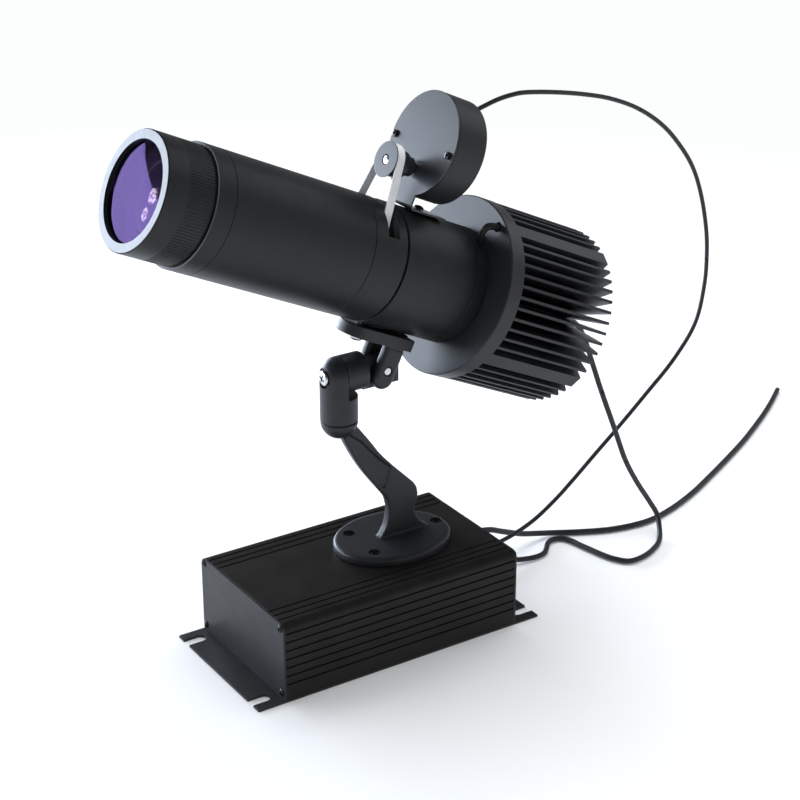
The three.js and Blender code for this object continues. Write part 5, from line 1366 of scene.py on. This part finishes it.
    def rear_and_collar(self, place: Matrix) -> None:
        """The rear tube and the collar of the lamp housing."""
        end = self.rear_length - CLEAR
        inner = self.drive_bore - CLEAR - self.spigot_wall
        lip = 2 * self.lip_gap
        profile = [(inner, CLEAR - lip), (self.drive_bore - CLEAR, CLEAR - lip),
                   (self.drive_bore - CLEAR, 0.0),
                   (self.radius, 0.0), (self.radius, end), (self.rear_bore, end), (self.rear_bore, lip),
                   (inner, lip)]
        form = Form.turned(profile, ring=True).softened(self.rear_round).shifted(0.0, self.rear_y, 0.0)
        settle(form.moved(place), "rear_section", TUBE_BLACK, Body.HEAD, "rear_tube")
        spigot = self.rear_bore - CLEAR
        inner = spigot - self.spigot_wall
        profile = [(inner, -self.overlap), (spigot, -self.overlap), (spigot, 0.0), (self.radius, 0.0),
                   (self.radius, self.collar_length - CLEAR), (inner, self.collar_length - CLEAR)]
        form = Form.turned(profile, ring=True).softened(self.rear_round).shifted(0.0, self.collar_y, 0.0)
        settle(form.moved(place), "collar_section", TUBE_BLACK, Body.HEAD, "lamp_collar")


@dataclass
class Optics:
    """The lenses that show through the bezel, the inner one with painted glints."""

    front_rim: float = 0.0304
    front_crown_radius: float = 0.0278
    front_y: float = 0.0033
    front_edge: float = 0.0035
    front_step: float = 0.0009
    front_crown: float = 0.0023
    inner_rim: float = 0.0241
    inner_crown_radius: float = 0.0219
    inner_y: float = 0.0168
    inner_edge: float = 0.0025
    inner_crown: float = 0.0024
    crown_steps: int = 12
    edge_share: float = 0.97
    glint_ring_share: float = 0.98
    crease: float = 60.0
    facing: float = 0.1
    glint_spots: tuple[Place, ...] = ((-0.0035, 0.0, 0.0042), (-0.0065, -0.0112, 0.0036))

    def build(self, place: Matrix, barrel: Barrel) -> None:
        """Builds both lenses.

        Args:
            place: Puts the barrel's axis in the row frame.
            barrel: Gives the bezel's place.
        """
        front = self.lens(self.front_rim, self.front_crown_radius, self.front_y, self.front_edge,
                          self.front_crown, 0.0, self.front_step)
        front.dabbed(1, lambda face: face.normal.y > self.facing)
        settle(front.shifted(0.0, barrel.bezel_y, 0.0).moved(place), "front_glass",
               [COATED_GLASS, BARE_GLASS], Body.FOCUS, "front_lens", crease=self.crease)
        inner = self.lens(self.inner_rim, self.inner_crown_radius, self.inner_y, self.inner_edge,
                          self.inner_crown, self.inner_crown)
        # Painted glints: two faceted spots and a thin ring on the inner lens give off light.
        for spot in self.glint_spots:
            inner.dabbed(1, lambda face: self.is_in_glint_spot(face, spot))
        inner.dabbed(2, self.is_glint_ring)
        settle(inner.shifted(0.0, barrel.bezel_y, 0.0).moved(place), "inner_glass_lens",
               [INNER_GLASS, FACET_GLINT_GLASS, RIM_GLINT_GLASS], Body.CELL, "inner_lens", crease=self.crease)

    def is_in_glint_spot(self, face: bmesh.types.BMFace, spot: Place) -> bool:
        """Says whether a face is on the front, within a painted glint spot given as x, z and radius."""
        centre = face.calc_center_median()
        x, z, radius = spot
        return face.normal.y < -self.facing and math.hypot(centre.x - x, centre.z - z) < radius

    def is_glint_ring(self, face: bmesh.types.BMFace) -> bool:
        """Says whether a face is on the narrow ring round the front bulge of the inner lens, which carries a
        painted highlight.
        """
        centre = face.calc_center_median()
        share = math.hypot(centre.x, centre.z) / self.inner_crown_radius
        return face.normal.y < -self.facing and self.glint_ring_share < share < 1.0

    def lens(self, rim: float, crown_radius: float, start: float, edge: float, front: float,
             rear: float, step: float = 0.0) -> Form:
        """A lens with a flat rim.

        Args:
            rim: Outer radius.
            crown_radius: Radius inside which it bulges.
            start: Front of the rim on Y.
            edge: Thickness of the rim.
            front: Height of the front bulge.
            rear: Height of the rear bulge.
            step: How far the front bulge stands out of the rim.

        Returns:
            The lens.
        """
        shares = [*(i / self.crown_steps for i in range(self.crown_steps)), self.edge_share, 1.0]
        profile = [(crown_radius * s, start - step - front * (1.0 - s * s)) for s in shares]
        profile += [(crown_radius, start), (rim, start), (rim, start + edge)]
        if rear > 0.0:
            profile += [(crown_radius * s, start + edge + rear * (1.0 - s * s)) for s in reversed(shares)]
        else:
            profile.append((0.0, start + edge))
        return Form.turned(profile)


@dataclass
class LampHousing:
    """The finned heat sink, its gland and the short wire to the collar."""

    radius: float = 0.05475
    disc: float = 0.01
    disc_chamfer: float = 0.0006
    disc_steps: int = 144
    core: float = 0.017
    core_length: float = 0.064
    wire_bore: float = 0.004
    fin_length: float = 0.0734
    fin_thickness: float = 0.0018
    fin_inset: float = 0.0002
    fin_round: float = 0.00018
    rib_thickness: float = 0.009
    first_rib: float = 33.3
    first_fin: float = 10.4
    fin_pitch: float = 6.92
    fins: int = 11
    bridge_radius: float = 0.0022
    bridge_angle: float = 28.6
    bridge_circle: float = 0.049
    bridge_back: float = 0.0035
    bridge_arch: float = 0.0042
    bridge_sink: float = 0.003
    bridge_hole_depth: float = 0.0064
    bridge_steps: int = 6
    bridge_shares: tuple[Point, ...] = ((0.2, 0.3), (0.5, 0.8), (0.85, 0.7))
    nut: float = 0.009
    nut_length: float = 0.009
    boot: float = 0.0065
    boot_tip: float = 0.003
    boot_length: float = 0.0167
    boot_grooves: int = 5
    boot_first: float = 0.7
    boot_last: float = 0.9
    boot_groove_depth: float = 0.0009
    boot_groove: float = 0.001
    gland_thread: float = 0.008
    gland_round: float = 0.0005

    def build(self, place: Matrix, barrel: Barrel) -> None:
        """Builds the housing.

        Args:
            place: Puts the barrel's axis in the row frame.
            barrel: Gives the place of the housing's front.
        """
        self.heat_sink(place, barrel.sink_y)
        self.gland(place, barrel.sink_y + self.disc + self.core_length + CLEAR)
        self.bridge(place, barrel)

    def heat_sink(self, place: Matrix, front: float) -> None:
        """The disc with its core, four thick ribs and the thin fins between them."""
        rear = front + self.disc
        edge = self.disc_chamfer
        profile = [(self.wire_bore, front), (self.radius - edge, front), (self.radius, front + edge),
                   (self.radius, rear), (self.core, rear), (self.core, rear + self.core_length),
                   (self.wire_bore, rear + self.core_length)]
        form = Form.turned(profile, self.disc_steps, ring=True)
        hole = Form.rod(self.bridge_radius + 3 * CLEAR, front - OVERRUN, front + self.bridge_hole_depth)
        form.carved(hole.shifted(0.0, 0.0, self.bridge_circle).moved(turning(self.bridge_angle, "Y")))
        for quarter in range(4):
            rib = self.first_rib + quarter * 90.0
            form.joined(self.fin(self.rib_thickness, rib, rear))
            for i in range(self.fins):
                form.joined(self.fin(self.fin_thickness, rib + self.first_fin + i * self.fin_pitch, rear))
        settle(form.moved(place), "finned_sink", SINK_BLACK, Body.HEAD, "heat_sink")

    def fin(self, thickness: float, degrees: float, rear: float) -> Form:
        """One fin, standing on the core.

        Args:
            thickness: Its thickness.
            degrees: Its angle round the axis, from the top.
            rear: The disc's rear face on Y.

        Returns:
            The fin.
        """
        half = thickness / 2
        outer = math.sqrt((self.radius - self.fin_inset) ** 2 - half ** 2)
        form = Form.block((-half, rear - OVERRUN, self.core - 2 * self.fin_thickness),
                          (half, rear + self.fin_length, outer))
        return form.softened(self.fin_round).moved(turning(degrees, "Y"))

    def gland(self, place: Matrix, front: float) -> None:
        """The gland behind the core, with its flexible boot."""
        neck, nut_end = self.wire_bore - CLEAR, front + self.nut_length
        tip = nut_end + self.boot_length
        inner = front - self.gland_thread
        profile = [(0.0, inner), (neck, inner), (neck, front), (self.nut, front),
                   (self.nut, nut_end), (self.boot, nut_end), (self.boot_tip, tip), (0.0, tip)]
        form = Form.turned(profile, SMALL_STEPS).softened(self.gland_round, 3)
        half = self.boot_groove / 2
        for i in range(self.boot_grooves):
            share = (i + self.boot_first) / (self.boot_grooves - 1 + self.boot_first + self.boot_last)
            y = nut_end + self.boot_length * share
            deep = self.boot + (self.boot_tip - self.boot) * share - self.boot_groove_depth
            form.carved(Form.tube(deep, self.nut, y - half, y + half, SMALL_STEPS))
        settle(form.moved(place), "gland_boot", MOULDED_BLACK, Body.HEAD, "lamp_gland")

    def bridge(self, place: Matrix, barrel: Barrel) -> None:
        """The short wire that arches from the collar into the disc."""
        run = self.bridge_circle - barrel.radius
        foot_y = barrel.sink_y - self.bridge_back
        foot = barrel.rear_bore + CLEAR
        route = [(0.0, foot_y, foot), (0.0, foot_y, barrel.radius),
                 *((0.0, foot_y - up * self.bridge_arch, barrel.radius + along * run)
                   for along, up in self.bridge_shares),
                 (0.0, barrel.sink_y, self.bridge_circle),
                 (0.0, barrel.sink_y + self.bridge_sink, self.bridge_circle)]
        form = sweep(flowing(route, self.bridge_steps), self.bridge_radius)
        form.moved(place @ turning(self.bridge_angle, "Y"))
        settle(form, "bridge_sleeve", MOULDED_BLACK, Body.HEAD, "bridge_wire")


@dataclass
class MotorDrive:
    """The motor on its bracket, the pulley and the belt; z counts from the barrel's axis."""

    face: float = -0.0264
    rise: float = 0.0737
    radius: float = 0.031
    length: float = 0.0207
    wall: float = 0.0016
    sheet: float = 0.0012
    tab_half: float = 0.0106
    foot_length: float = 0.027
    bend: float = 0.003
    bend_steps: int = 8
    foot_screw_place: float = 0.014
    foot_screw: Screw = Screw(0.003, 0.002, 0.0017, 0.0042, Drive.CROSS, 0.7)
    screw: Screw = Screw(0.0022, 0.0014, 0.0006, 0.008, Drive.HEX, 0.3)
    screw_spread: float = 0.027
    screw_rise: float = 0.0725
    shaft_rise: float = 0.0581
    shaft: float = 0.00275
    shaft_depth: float = 0.012
    seat: float = 0.0089
    flange: float = 0.0106
    flange_thickness: float = 0.0006
    hub: float = 0.0076
    hub_length: float = 0.0059
    neck: float = 0.0056
    neck_length: float = 0.0055
    belt_thickness: float = 0.001
    belt_steps: int = 32
    wheel: float = 0.0209
    lead_x: float = -0.0024
    lead_rise: float = 0.0992
    lead_neck: float = 0.00215
    lead_flange: float = 0.001
    lead_reach: float = 0.0017
    shaft_hole_gap: float = 0.0004
    plate_round: float = 0.00018
    can_round: float = 0.0014
    can_round_steps: int = 6
    sharp_angle: float = 60.0
    grommet_round: float = 0.0001
    pulley_round: float = 0.00015
    shaft_round: float = 0.0003
    belt_round: float = 0.00012

    def build(self, place: Matrix, barrel: Barrel) -> None:
        """Builds the drive.

        Args:
            place: Puts the barrel's axis in the row frame.
            barrel: Gives the belt's place.
        """
        self.belt_start = barrel.drive_y + barrel.belt_front
        self.belt_end = self.belt_start + barrel.belt_width
        self.bracket(place, barrel)
        self.housing(place)
        self.pulley(place)
        self.belt(place)

    def bracket(self, place: Matrix, barrel: Barrel) -> None:
        """The sheet bracket: a round plate, a bent tab and a foot, with its three screws."""
        foot = barrel.radius + CLEAR
        bend, sheet, front = self.bend, self.sheet, self.face
        end = front + self.foot_length
        middle = (front + bend, foot + bend)
        high = self.rise - self.radius / 2
        section = [(front + sheet, high), (front, high), *arc(middle, bend, 180.0, 270.0, self.bend_steps),
                   (end, foot),
                   (end, foot + sheet), *arc(middle, bend - sheet, 270.0, 180.0, self.bend_steps)]
        tab = Form.drawn(section, Way.X, -self.tab_half, self.tab_half)
        disc = Form.rod(self.radius, front, front + sheet, BARREL_STEPS).shifted(0.0, 0.0, self.rise)
        hole = Form.rod(self.shaft + self.shaft_hole_gap, front - OVERRUN, front + sheet + OVERRUN)
        form = disc.fused(tab).carved(hole.shifted(0.0, 0.0, self.shaft_rise))
        form.softened(self.plate_round, angle=self.sharp_angle)
        settle(form.moved(place), "motor_plate", FACE_BLACK, Body.HEAD, "motor_bracket")

        top = foot + sheet + CLEAR + self.foot_screw.height
        form = self.foot_screw.form().moved(FACING_UP).shifted(0.0, front + self.foot_screw_place, top)
        settle(form.moved(place), "bracket_bolt", SCREW_BLACK, Body.HEAD, "bracket_screw")
        for side, name in ((-1, "motor_screw_left"), (1, "motor_screw_right")):
            form = self.screw.form().shifted(side * self.screw_spread, front - CLEAR - self.screw.height,
                                             self.screw_rise)
            settle(form.moved(place), f"{name}_head", SCREW_BLACK, Body.HEAD, name)

    def housing(self, place: Matrix) -> None:
        """The motor's round can, with the grommet of its lead."""
        front = self.face + self.sheet + CLEAR
        rear = front + self.length
        bore, edge = self.radius - self.wall, self.can_round
        profile = [(0.0, rear - self.wall), (bore, rear - self.wall), (bore, front), (self.radius, front),
                   *arc((self.radius - edge, rear - edge), edge, 0.0, 90.0, self.can_round_steps),
                   (0.0, rear)]
        form = Form.turned(profile).shifted(0.0, 0.0, self.rise)
        hole = Form.rod(self.lead_neck + CLEAR, rear - 2 * self.wall, rear + OVERRUN)
        form.carved(hole.shifted(self.lead_x, 0.0, self.lead_rise))
        settle(form.moved(place), "motor_can", CAN_BLACK, Body.HEAD, "motor_housing")

        neck, flange = self.lead_neck, self.lead_neck + self.lead_flange
        inner, outer, tip = rear - self.wall - CLEAR, rear + CLEAR, rear + self.lead_reach
        profile = [(0.0, inner), (neck, inner), (neck, outer), (flange, outer), (neck, tip), (0.0, tip)]
        form = Form.turned(profile, SMALL_STEPS).softened(self.grommet_round)
        form.shifted(self.lead_x, 0.0, self.lead_rise).moved(place)
        settle(form, "motor_lead_grommet", MOULDED_BLACK, Body.HEAD, "motor_rear_grommet")

    def pulley(self, place: Matrix) -> None:
        """The pulley and the motor's shaft that it sits on."""
        seat_front, seat_rear = self.belt_start - CLEAR, self.belt_end + CLEAR
        start = seat_front - self.flange_thickness
        hub_end = seat_rear + self.hub_length
        neck_end = hub_end + self.neck_length
        bore = self.shaft + CLEAR
        profile = [(bore, start), (self.flange, start), (self.flange, seat_front), (self.seat, seat_front),
                   (self.seat, seat_rear), (self.hub, seat_rear), (self.hub, hub_end), (self.neck, hub_end),
                   (self.neck, neck_end), (bore, neck_end)]
        form = Form.turned(profile, STEM_STEPS, ring=True).softened(self.pulley_round)
        form.shifted(0.0, 0.0, self.shaft_rise)
        settle(form.moved(place), "belt_pulley", FACE_BLACK, Body.PULLEY, "motor_pulley")
        rear = self.face + self.sheet + CLEAR + self.shaft_depth
        shaft = Form.rod(self.shaft, start + CLEAR, rear).softened(self.shaft_round)
        shaft.shifted(0.0, 0.0, self.shaft_rise)
        settle(shaft.moved(place), "bright_shaft", BRIGHT_STEEL, Body.PULLEY, "motor_shaft")

    def belt(self, place: Matrix) -> None:
        """The flat white belt."""
        small, large = self.seat + CLEAR, self.wheel + CLEAR
        outer = self.loop(small + self.belt_thickness, large + self.belt_thickness)
        form = Form.drawn(outer, Way.Y, self.belt_start, self.belt_end)
        inner = Form.drawn(self.loop(small, large), Way.Y, self.belt_start - OVERRUN, self.belt_end + OVERRUN)
        form.carved(inner).softened(self.belt_round, 1, self.sharp_angle)
        settle(form.moved(place), "flat_belt", BELT_WHITE, Body.HEAD, "drive_belt")

    def loop(self, small: float, large: float) -> list[Point]:
        """Outline of the belt round the two wheels.

        Args:
            small: Radius at the pulley.
            large: Radius at the gobo wheel.

        Returns:
            Points of (x, z).
        """
        lean = math.degrees(math.asin((large - small) / self.shaft_rise))
        return [*arc((0.0, self.shaft_rise), small, lean, 180.0 - lean, self.belt_steps),
                *arc((0.0, 0.0), large, 180.0 - lean, 360.0 + lean, 2 * self.belt_steps)]


@dataclass(frozen=True)
class Stretch:
    """A stretch of a lead that spans one joint.

    Attributes:
        name: The piece's name.
        last: Index of the route's point that it ends at.
        bodies: The joint's two bodies, the fixed one first.
        start: A point on the first body's side of the joint.
        end: A point on the second body's side.
    """

    name: str
    last: int
    bodies: tuple[Body, Body]
    start: Place
    end: Place


@dataclass(frozen=True)
class Lead:
    """A free lead.

    Attributes:
        name: The piece's name.
        node: The CAD node that it stands for.
        radius: Its radius.
        far_end: What is on its far end.
        stiffness: How stiff it is.
        route: Its points in millimetres, from where it leaves the object.
        stretches: The stretches that it is made in, where it crosses the joints.
        steps: Steps between two points of the route.
    """

    name: str
    node: str
    radius: float
    far_end: str
    stiffness: str
    route: tuple[Place, ...]
    stretches: tuple[Stretch, ...] = ()
    steps: int = 8

    def build(self) -> None:
        """Builds the lead, in stretches where it crosses the joints."""
        line = flowing([tuple(Vector(spot) * MILLIMETRE) for spot in self.route], self.steps)
        if not self.stretches:
            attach(self.piece(self.name, line), Body.ROOT.value)
        first = 0
        for stretch in self.stretches:
            last = stretch.last * self.steps
            piece = self.piece(stretch.name, line[first:last + 1])
            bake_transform(piece)
            first = last

    def piece(self, name: str, line: Sequence[Vector]) -> bpy.types.Object:
        """Args:
            name: Its name.
            line: Its centreline.

        Returns:
            The piece.
        """
        piece = sweep(line, self.radius).piece(name, [SHEATH_BLACK])
        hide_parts(self.node)
        return piece


LEADS = (
    Lead("mains_cable", "mains_lead", 0.0019, "bare", "medium", (
        (-20, 104.1, 28.3), (-20, 108, 27.9), (-21, 114.5, 25.9), (-23.4, 124, 21), (-26.4, 134.5, 15.6),
        (-29.6, 147, 9.8), (-31.5, 160, 5.5), (-30.6, 174.3, 2.3), (-23.3, 188.5, 2.1), (-13.6, 211, 2.1),
        (-9.9, 238, 2.1), (-14.6, 262, 2.1), (-25.6, 291.7, 2.1), (-37.2, 316, 2.1), (-53, 347.3, 2.1),
        (-71.9, 382.8, 2.1), (-84.5, 404, 2.1), (-99.7, 428.5, 2.1), (-114.2, 449.9, 2.1),
        (-127.9, 468.6, 2.1),
    )),
    Lead("lamp_cable", "lamp_lead", 0.00175, "object", "limp", (
        (-2, 156.5, 170.75), (-2, 160.4, 168.6), (-2, 165.6, 162.9), (-2, 170.6, 153.7), (-2, 177.1, 137.1),
        (-1, 184.7, 116.1), (0, 197.2, 84.9), (0, 207.1, 61), (-1, 219.2, 40.7), (-1.8, 231.6, 22.9),
        (0.5, 237.5, 11.7), (6.5, 234.9, 5.1), (15.6, 227.4, 2.1), (23.2, 216.1, 2.1), (27.8, 203.6, 2.1),
        (27.7, 191.7, 2.1), (19.3, 185, 2.1), (9.1, 181.8, 2.1), (-0.2, 179.9, 2.1), (-7.6, 178.3, 2.1),
        (-15.4, 177.1, 2.1), (-21.5, 174.1, 2.1), (-23.9, 168.2, 2.1), (-21.7, 162.1, 2.1),
        (-17, 157.3, 2.1), (-12, 151.9, 2.1), (-10.3, 144.7, 2.1), (-11.8, 131.5, 3), (-15, 117, 6.2),
        (-16.6, 103, 10.4), (-17, 94, 12.2), (-17, 86.1, 12.5),
    ), (
        Stretch("lamp_cable_upper", 5, (Body.ELBOW, Body.HEAD), (0.0, 0.185, 0.116), (0.0, 0.16, 0.168)),
        Stretch("lamp_cable_middle", 7, (Body.POST, Body.ELBOW), (0.0, 0.207, 0.061),
                (0.0, 0.185, 0.116)),
        Stretch("lamp_cable", 31, (Body.ROOT, Body.POST), (0.0, 0.2, 0.012), (0.0, 0.2, 0.058)),
    )),
    Lead("motor_cable", "motor_lead", 0.0014, "object", "limp", (
        (-4.4, 78.9, 315.95), (-4.4, 80.2, 315.42), (-4.4, 81.8, 315.08), (-4.4, 83.5, 315.17),
        (-4.3, 85.5, 315.7), (-3.9, 88.3, 316.75), (-3.1, 91.6, 318.1), (-2, 96, 319.86),
        (-0.6, 101.6, 321.56), (0.4, 107, 322.5), (1, 113.2, 322.9), (0, 134.4, 320), (-2, 162.8, 314),
        (-3, 184.4, 307.8), (-4, 206.7, 298.1), (-5, 227, 284.7), (-6, 241.9, 270.5),
        (-6, 255, 253.1), (-7, 265, 232.1), (-7, 271.8, 205.4), (-8, 274.5, 186), (-8, 274.2, 169.7),
        (-8, 268.5, 142.9), (-8, 252.3, 121), (-8, 226.9, 98.6), (-8, 206.1, 81.3), (-8, 187.1, 66.2),
        (-8, 169.8, 52.3), (-8, 155.9, 41.9), (-7.8, 137.4, 31.3), (-7, 117.3, 25.4), (-6.2, 100, 23.6),
        (-6, 86.1, 23.5),
    ), (
        Stretch("motor_cable_upper", 14, (Body.ELBOW, Body.HEAD), (0.0, 0.2067, 0.298),
                (0.0, 0.107, 0.32)),
        Stretch("motor_cable_middle", 20, (Body.POST, Body.ELBOW), (0.0, 0.2745, 0.186),
                (0.0, 0.2067, 0.298)),
        Stretch("motor_cable", 32, (Body.ROOT, Body.POST), (0.0, 0.2, 0.033), (0.0, 0.2, 0.18)),
    )),
)

CARRIED: dict[str, Dressing] = {
    "pan_washer": MOULDED_BLACK,
    "driver_board": BOARD_GREEN,
    "driver_transformer": WINDING,
    "driver_capacitor": SLEEVE_BLUE,
    "lens_retainer": MATT_BLACK,
    "lens_cell": MATT_BLACK,
    "gobo_ring": MOULDED_BLACK,
    "gobo_bearing": MOULDED_BLACK,
    "gobo_disc": BRIGHT_STEEL,
    "gobo_clip": SCREW_BLACK,
    "condenser_mount": TUBE_BLACK,
    "condenser_lens": CLEAR_GLASS,
    "led_module": EMITTER,
    "motor_core": COIL,
}


def dress_carried(nodes: dict[str, bpy.types.Object]) -> None:
    """Gives the carried-over pieces their finishes.

    Args:
        nodes: The model's nodes by name.
    """
    for name, finish in CARRIED.items():
        slots = nodes[name].material_slots
        for slot in slots:
            slot.material = finish.material()
        LOG.info("%s: carried over", name)


def aimed(place: Place, target: Place) -> Matrix:
    """Puts a camera or a lamp in its place, looking at a target.

    Args:
        place: Where it stands.
        target: What it looks at.

    Returns:
        The matrix.
    """
    aim = Vector(target) - Vector(place)
    return Matrix.Translation(place) @ aim.to_track_quat("-Z", "Y").to_matrix().to_4x4()


@dataclass(frozen=True)
class Lamp:
    """A soft rectangular lamp aimed at the object.

    Attributes:
        name: Its name.
        place: Where it stands.
        size: Its width and height.
        power: Its power in watts.
        colour: Its colour.
        mirrored: True where glossy surfaces show it.
        target: What it is aimed at.
    """

    name: str
    place: Place
    size: Point
    power: float
    colour: Colour
    mirrored: bool = True
    target: Place = (0.0, 0.0, 0.2)

    def build(self) -> None:
        """Puts the lamp into the scene."""
        data = bpy.data.lights.new(self.name, "AREA")
        data.shape = "RECTANGLE"
        data.size, data.size_y = self.size
        data.energy = self.power
        data.color = self.colour
        light = shown(self.name, data)
        light.matrix_world = aimed(self.place, self.target)
        light.visible_glossy = self.mirrored


LAMPS = (
    Lamp("overhead", (-0.45, 0.45, 2.2), (2.2, 2.2), 43.0, (1.0, 1.0, 1.0), mirrored=False),
    Lamp("side", (-1.3, -0.75, 0.33), (2.4, 0.64), 33.0, (0.75, 0.85, 1.0)),
    Lamp("side_rear", (-1.42, -0.05, 0.31), (0.7, 0.56), 10.0, (0.75, 0.85, 1.0)),
    Lamp("back", (0.0, 1.9, 1.15), (1.6, 1.0), 4.5, (0.9, 0.94, 1.0)),
    Lamp("right", (1.25, 0.9, 0.55), (1.6, 0.9), 1.0, (0.92, 0.96, 1.0)),
)


@dataclass
class Studio:
    """The camera, the pale floor and the surround."""

    camera_place: Place = (0.8951, -0.5529, 0.6215)
    camera_target: Place = (0.0454, 0.0, 0.1711)
    lens: float = 87.95
    sensor: float = 36.0
    sight: float = 50.0
    floor_size: float = 12.0
    floor_roughness: float = 0.9
    floor_specular: float = 0.1
    floor_colour: Colour = (0.93, 0.94, 0.955)
    floor_shade: Colour = (0.74, 0.76, 0.80)
    plain_from: float = 0.35
    plain_at: float = 1.2
    white: Colour = (0.975, 0.985, 0.985)
    fill: float = 0.44
    horizon: float = 0.30
    zenith: float = 0.04
    horizon_height: float = 0.1
    zenith_height: float = 0.45

    def camera(self) -> None:
        """The camera at the photograph's viewpoint."""
        data = bpy.data.cameras.new("camera")
        data.lens = self.lens
        data.sensor_width = self.sensor
        data.clip_end = self.sight
        camera = shown("camera", data)
        camera.matrix_world = aimed(self.camera_place, self.camera_target)
        bpy.context.scene.camera = camera

    def build(self) -> None:
        """Builds the floor, the world and the lamps."""
        self.floor()
        self.world()
        for lamp in LAMPS:
            lamp.build()

    def floor(self) -> None:
        """A wide plain floor that keeps the shadow near the object and is plain white far away."""
        form = Form()
        bmesh.ops.create_grid(form.bm, x_segments=1, y_segments=1, size=self.floor_size / 2)
        floor = form.scratch("floor")
        form.bm.free()
        floor.data.materials.append(self.floor_material())

    def floor_material(self) -> bpy.types.Material:
        """Returns the floor's material: seen directly it is near white, and it reflects as a pale grey."""
        material, nodes, links = fresh_material("floor_pale")
        shader = nodes["Principled BSDF"]
        shader.inputs["Roughness"].default_value = self.floor_roughness
        shader.inputs["Specular IOR Level"].default_value = self.floor_specular
        path = add_node(nodes, "ShaderNodeLightPath")
        tone = add_node(nodes, "ShaderNodeMix")
        tone.data_type = "RGBA"
        tone.inputs["A"].default_value = (*self.floor_shade, 1.0)
        tone.inputs["B"].default_value = (*self.floor_colour, 1.0)
        links.new(path.outputs["Is Camera Ray"], tone.inputs["Factor"])
        links.new(tone.outputs["Result"], shader.inputs["Base Color"])

        spot = add_node(nodes, "ShaderNodeTexCoord")
        reach = add_node(nodes, "ShaderNodeVectorMath")
        reach.operation = "LENGTH"
        links.new(spot.outputs["Object"], reach.inputs["Vector"])
        fade = add_node(nodes, "ShaderNodeMapRange")
        fade.interpolation_type = "SMOOTHSTEP"
        fade.inputs["From Min"].default_value = self.plain_from
        fade.inputs["From Max"].default_value = self.plain_at
        links.new(reach.outputs["Value"], fade.inputs["Value"])
        share = add_node(nodes, "ShaderNodeMath")
        share.operation = "MULTIPLY"
        links.new(fade.outputs["Result"], share.inputs[0])
        links.new(path.outputs["Is Camera Ray"], share.inputs[1])
        plain = add_node(nodes, "ShaderNodeEmission", {"Color": (*self.white, 1.0)})
        mix = add_node(nodes, "ShaderNodeMixShader")
        links.new(share.outputs["Value"], mix.inputs["Fac"])
        links.new(shader.outputs["BSDF"], mix.inputs[1])
        links.new(plain.outputs["Emission"], mix.inputs[2])
        links.new(mix.outputs["Shader"], nodes["Material Output"].inputs["Surface"])
        return material

    def world(self) -> None:
        """A surround that is white where it is seen and dim where it lights."""
        world = bpy.data.worlds.new("surround")
        world.use_nodes = True
        nodes, links = world.node_tree.nodes, world.node_tree.links
        background = nodes["Background"]
        background.inputs["Color"].default_value = (*self.white, 1.0)
        path = add_node(nodes, "ShaderNodeLightPath")
        way = add_node(nodes, "ShaderNodeTexCoord")
        split = add_node(nodes, "ShaderNodeSeparateXYZ")
        links.new(way.outputs["Generated"], split.inputs["Vector"])
        mirrored = add_node(nodes, "ShaderNodeMapRange", {
            "From Min": self.horizon_height,
            "From Max": self.zenith_height,
            "To Min": self.horizon,
            "To Max": self.zenith,
        })
        links.new(split.outputs["Z"], mirrored.inputs["Value"])
        lighting = add_node(nodes, "ShaderNodeMix", {"A": self.fill})
        links.new(path.outputs["Is Glossy Ray"], lighting.inputs["Factor"])
        links.new(mirrored.outputs["Result"], lighting.inputs["B"])
        strength = add_node(nodes, "ShaderNodeMix", {"B": 1.0})
        links.new(path.outputs["Is Camera Ray"], strength.inputs["Factor"])
        links.new(lighting.outputs["Result"], strength.inputs["A"])
        links.new(strength.outputs["Result"], background.inputs["Strength"])
        bpy.context.scene.world = world


def head_matrix(joints: Sequence[dict]) -> Matrix:
    """Gives the fork's place: its origin is the tilt pin, and it leans back with the barrel.

    Args:
        joints: The model's joints.

    Returns:
        The matrix.
    """
    tilt = next(joint for joint in joints if joint["name"] == "tilt")
    return Matrix.Translation(tilt["pos_m"]) @ Matrix.Rotation(-TILT, 4, "X")


def main() -> None:
    """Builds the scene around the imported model."""
    logging.basicConfig(level=logging.INFO, format="%(message)s")
    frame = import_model()
    bpy.context.scene.view_settings.view_transform = "Standard"
    studio = Studio()
    studio.camera()
    for lead in LEADS:
        lead.build()

    head = head_matrix(frame["joints"])
    place = head @ Matrix.Translation((0.0, 0.0, AXIS_RISE))
    DriverBox().build()
    Foot().build()
    Swivel().build(head)
    barrel = Barrel()
    barrel.build(place)
    Optics().build(place, barrel)
    LampHousing().build(place, barrel)
    MotorDrive().build(place, barrel)
    dress_carried(frame["nodes"])
    studio.build()


if __name__ == "__main__":
    main()
